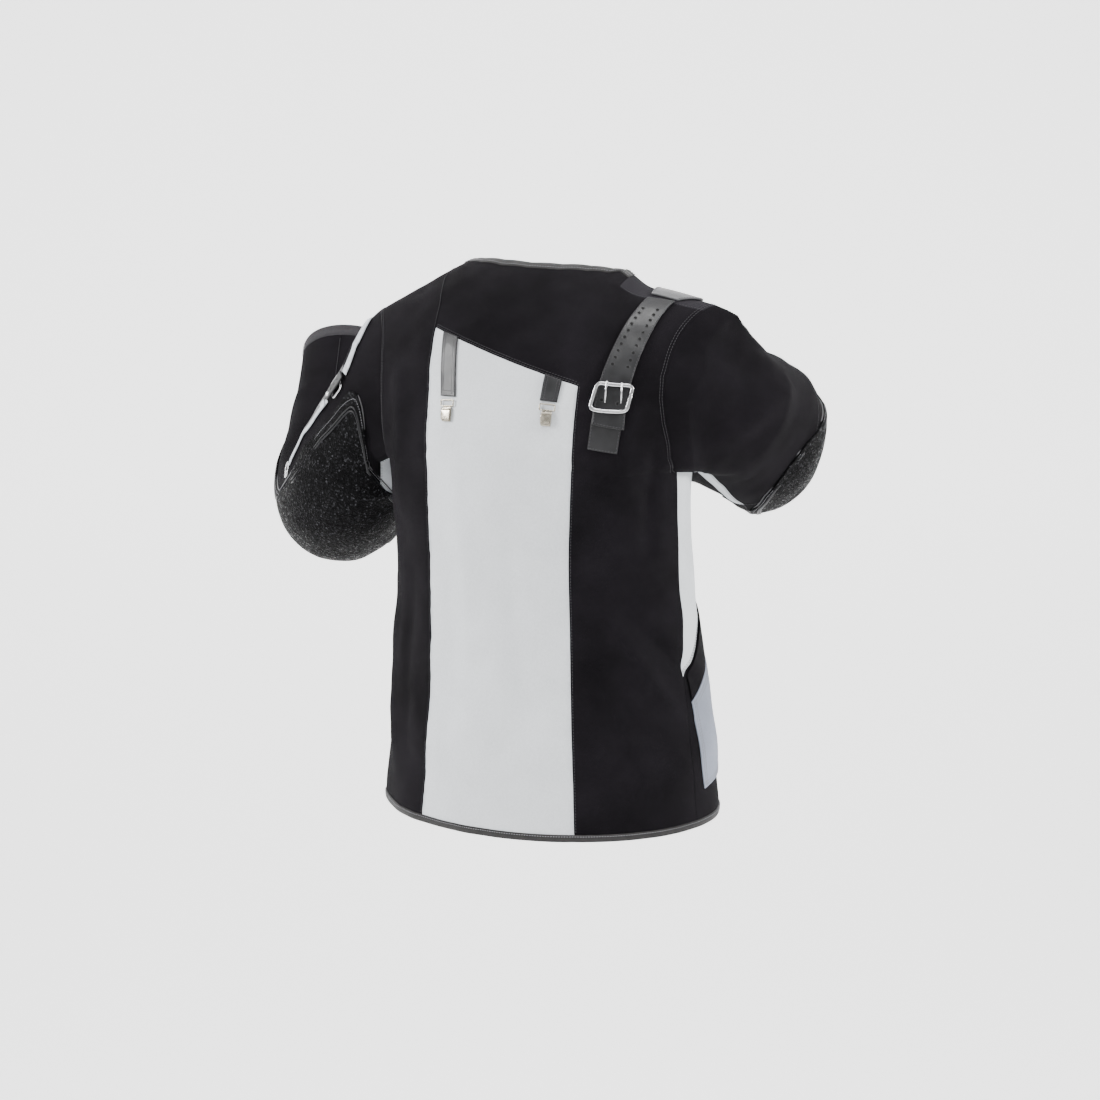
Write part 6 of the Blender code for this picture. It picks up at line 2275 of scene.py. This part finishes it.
RIGHT_SLEEVE_CREASES = (
    Crease(((0.43, 130), (0.45, 180), (0.43, 230)), -0.0070, 0.008),
    Crease(((0.48, 125), (0.49, 180), (0.48, 235)), 0.0055, 0.010),
    Crease(((0.54, 130), (0.54, 180), (0.55, 230)), -0.0060, 0.008),
    Crease(((0.10, -30), (0.20, 0), (0.30, 40)), 0.0036, 0.014),
    Crease(((0.08, 30), (0.20, 55), (0.33, 80)), -0.0030, 0.013),
    Crease(((0.14, -80), (0.24, -60), (0.34, -55)), 0.0030, 0.013),
    Crease(((0.66, 110), (0.74, 150), (0.78, 200)), 0.0030, 0.012),
    Crease(((0.80, -60), (0.88, -20), (0.86, 30)), -0.0022, 0.010),
)


RIGHT_SECTIONS = (
    (0.00, 0.078, 0.078, 0.076),
    (0.20, 0.080, 0.0685, 0.0785),
    (0.40, 0.068, 0.052, 0.088),
    (0.60, 0.063, 0.053, 0.087),
    (0.80, 0.065, 0.058, 0.070),
    (1.00, 0.060, 0.060, 0.060),
)


LEFT_PATCH = ((-78.0, 0.090, 0.600), (-70.0, 0.064, 0.660), (-60.0, 0.054, 0.720), (-40.0, 0.056, 0.760),
              (-10.0, 0.120, 0.780), (20.0, 0.250, 0.770), (50.0, 0.330, 0.740), (60.0, 0.370, 0.680))
RIGHT_PATCH = ((-80.0, 0.545, 0.80), (-55.0, 0.480, 0.84), (-26.0, 0.447, 0.86), (8.0, 0.490, 0.86),
               (39.0, 0.545, 0.84), (62.0, 0.590, 0.80))
LEFT_TAB = (((0.0820, 1.447), (0.0735, 1.225)), ((0.0600, 1.420), (0.0525, 1.222)))
RIGHT_TAB = (((-0.0575, 1.312), (-0.0550, 1.226)), ((-0.0780, 1.300), (-0.0750, 1.226)))


def main() -> None:
    """Builds the jacket in order, then the studio."""
    logging.basicConfig(level=logging.INFO, format="%(message)s")
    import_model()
    maker = Maker(Finishes())
    layers = Layers()
    trunk = Trunk(creases={Half.BACK: BACK_CREASES, Half.FRONT: FRONT_CREASES})
    cloth = TrunkCloth(trunk)
    cloth.build(maker)
    stitching = Stitching(cloth)
    stitching.build(maker)
    sleeves = {}
    for side, place, corner, cuff, creases, patch in (
            (Side.LEFT, 0, (0.332, -0.046, -0.351), (0.393, -0.202, -0.133), LEFT_SLEEVE_CREASES, LEFT_PATCH),
            (Side.RIGHT, -1, (-0.239, -0.171, -0.2355), (-0.100, -0.235, -0.2265), RIGHT_SLEEVE_CREASES,
             RIGHT_PATCH)):
        armhole, start = cloth.armhole(place)
        form = SleeveForm(side, armhole, start, corner, cuff, creases=creases)
        if side is Side.RIGHT:
            form.sections = RIGHT_SECTIONS
        sleeves[side] = SleeveCloth(form, patch)
        sleeves[side].build(maker)
        stitching.sleeve(maker, sleeves[side])
    Pocket(trunk, layers).build(maker)
    Closure(trunk, layers).build(maker)
    ShoulderStrap(trunk, layers).build(maker)
    for side, edges, place in zip(Side, (LEFT_TAB, RIGHT_TAB), trunk.still):
        TabAndClip(trunk, layers, side, edges, place).build(maker)
    Sling(sleeves[Side.LEFT].form, layers).build(maker)
    Studio().build(maker)
    LOG.info("%d pieces", len(maker.shown))


if __name__ == "__main__":
    main()
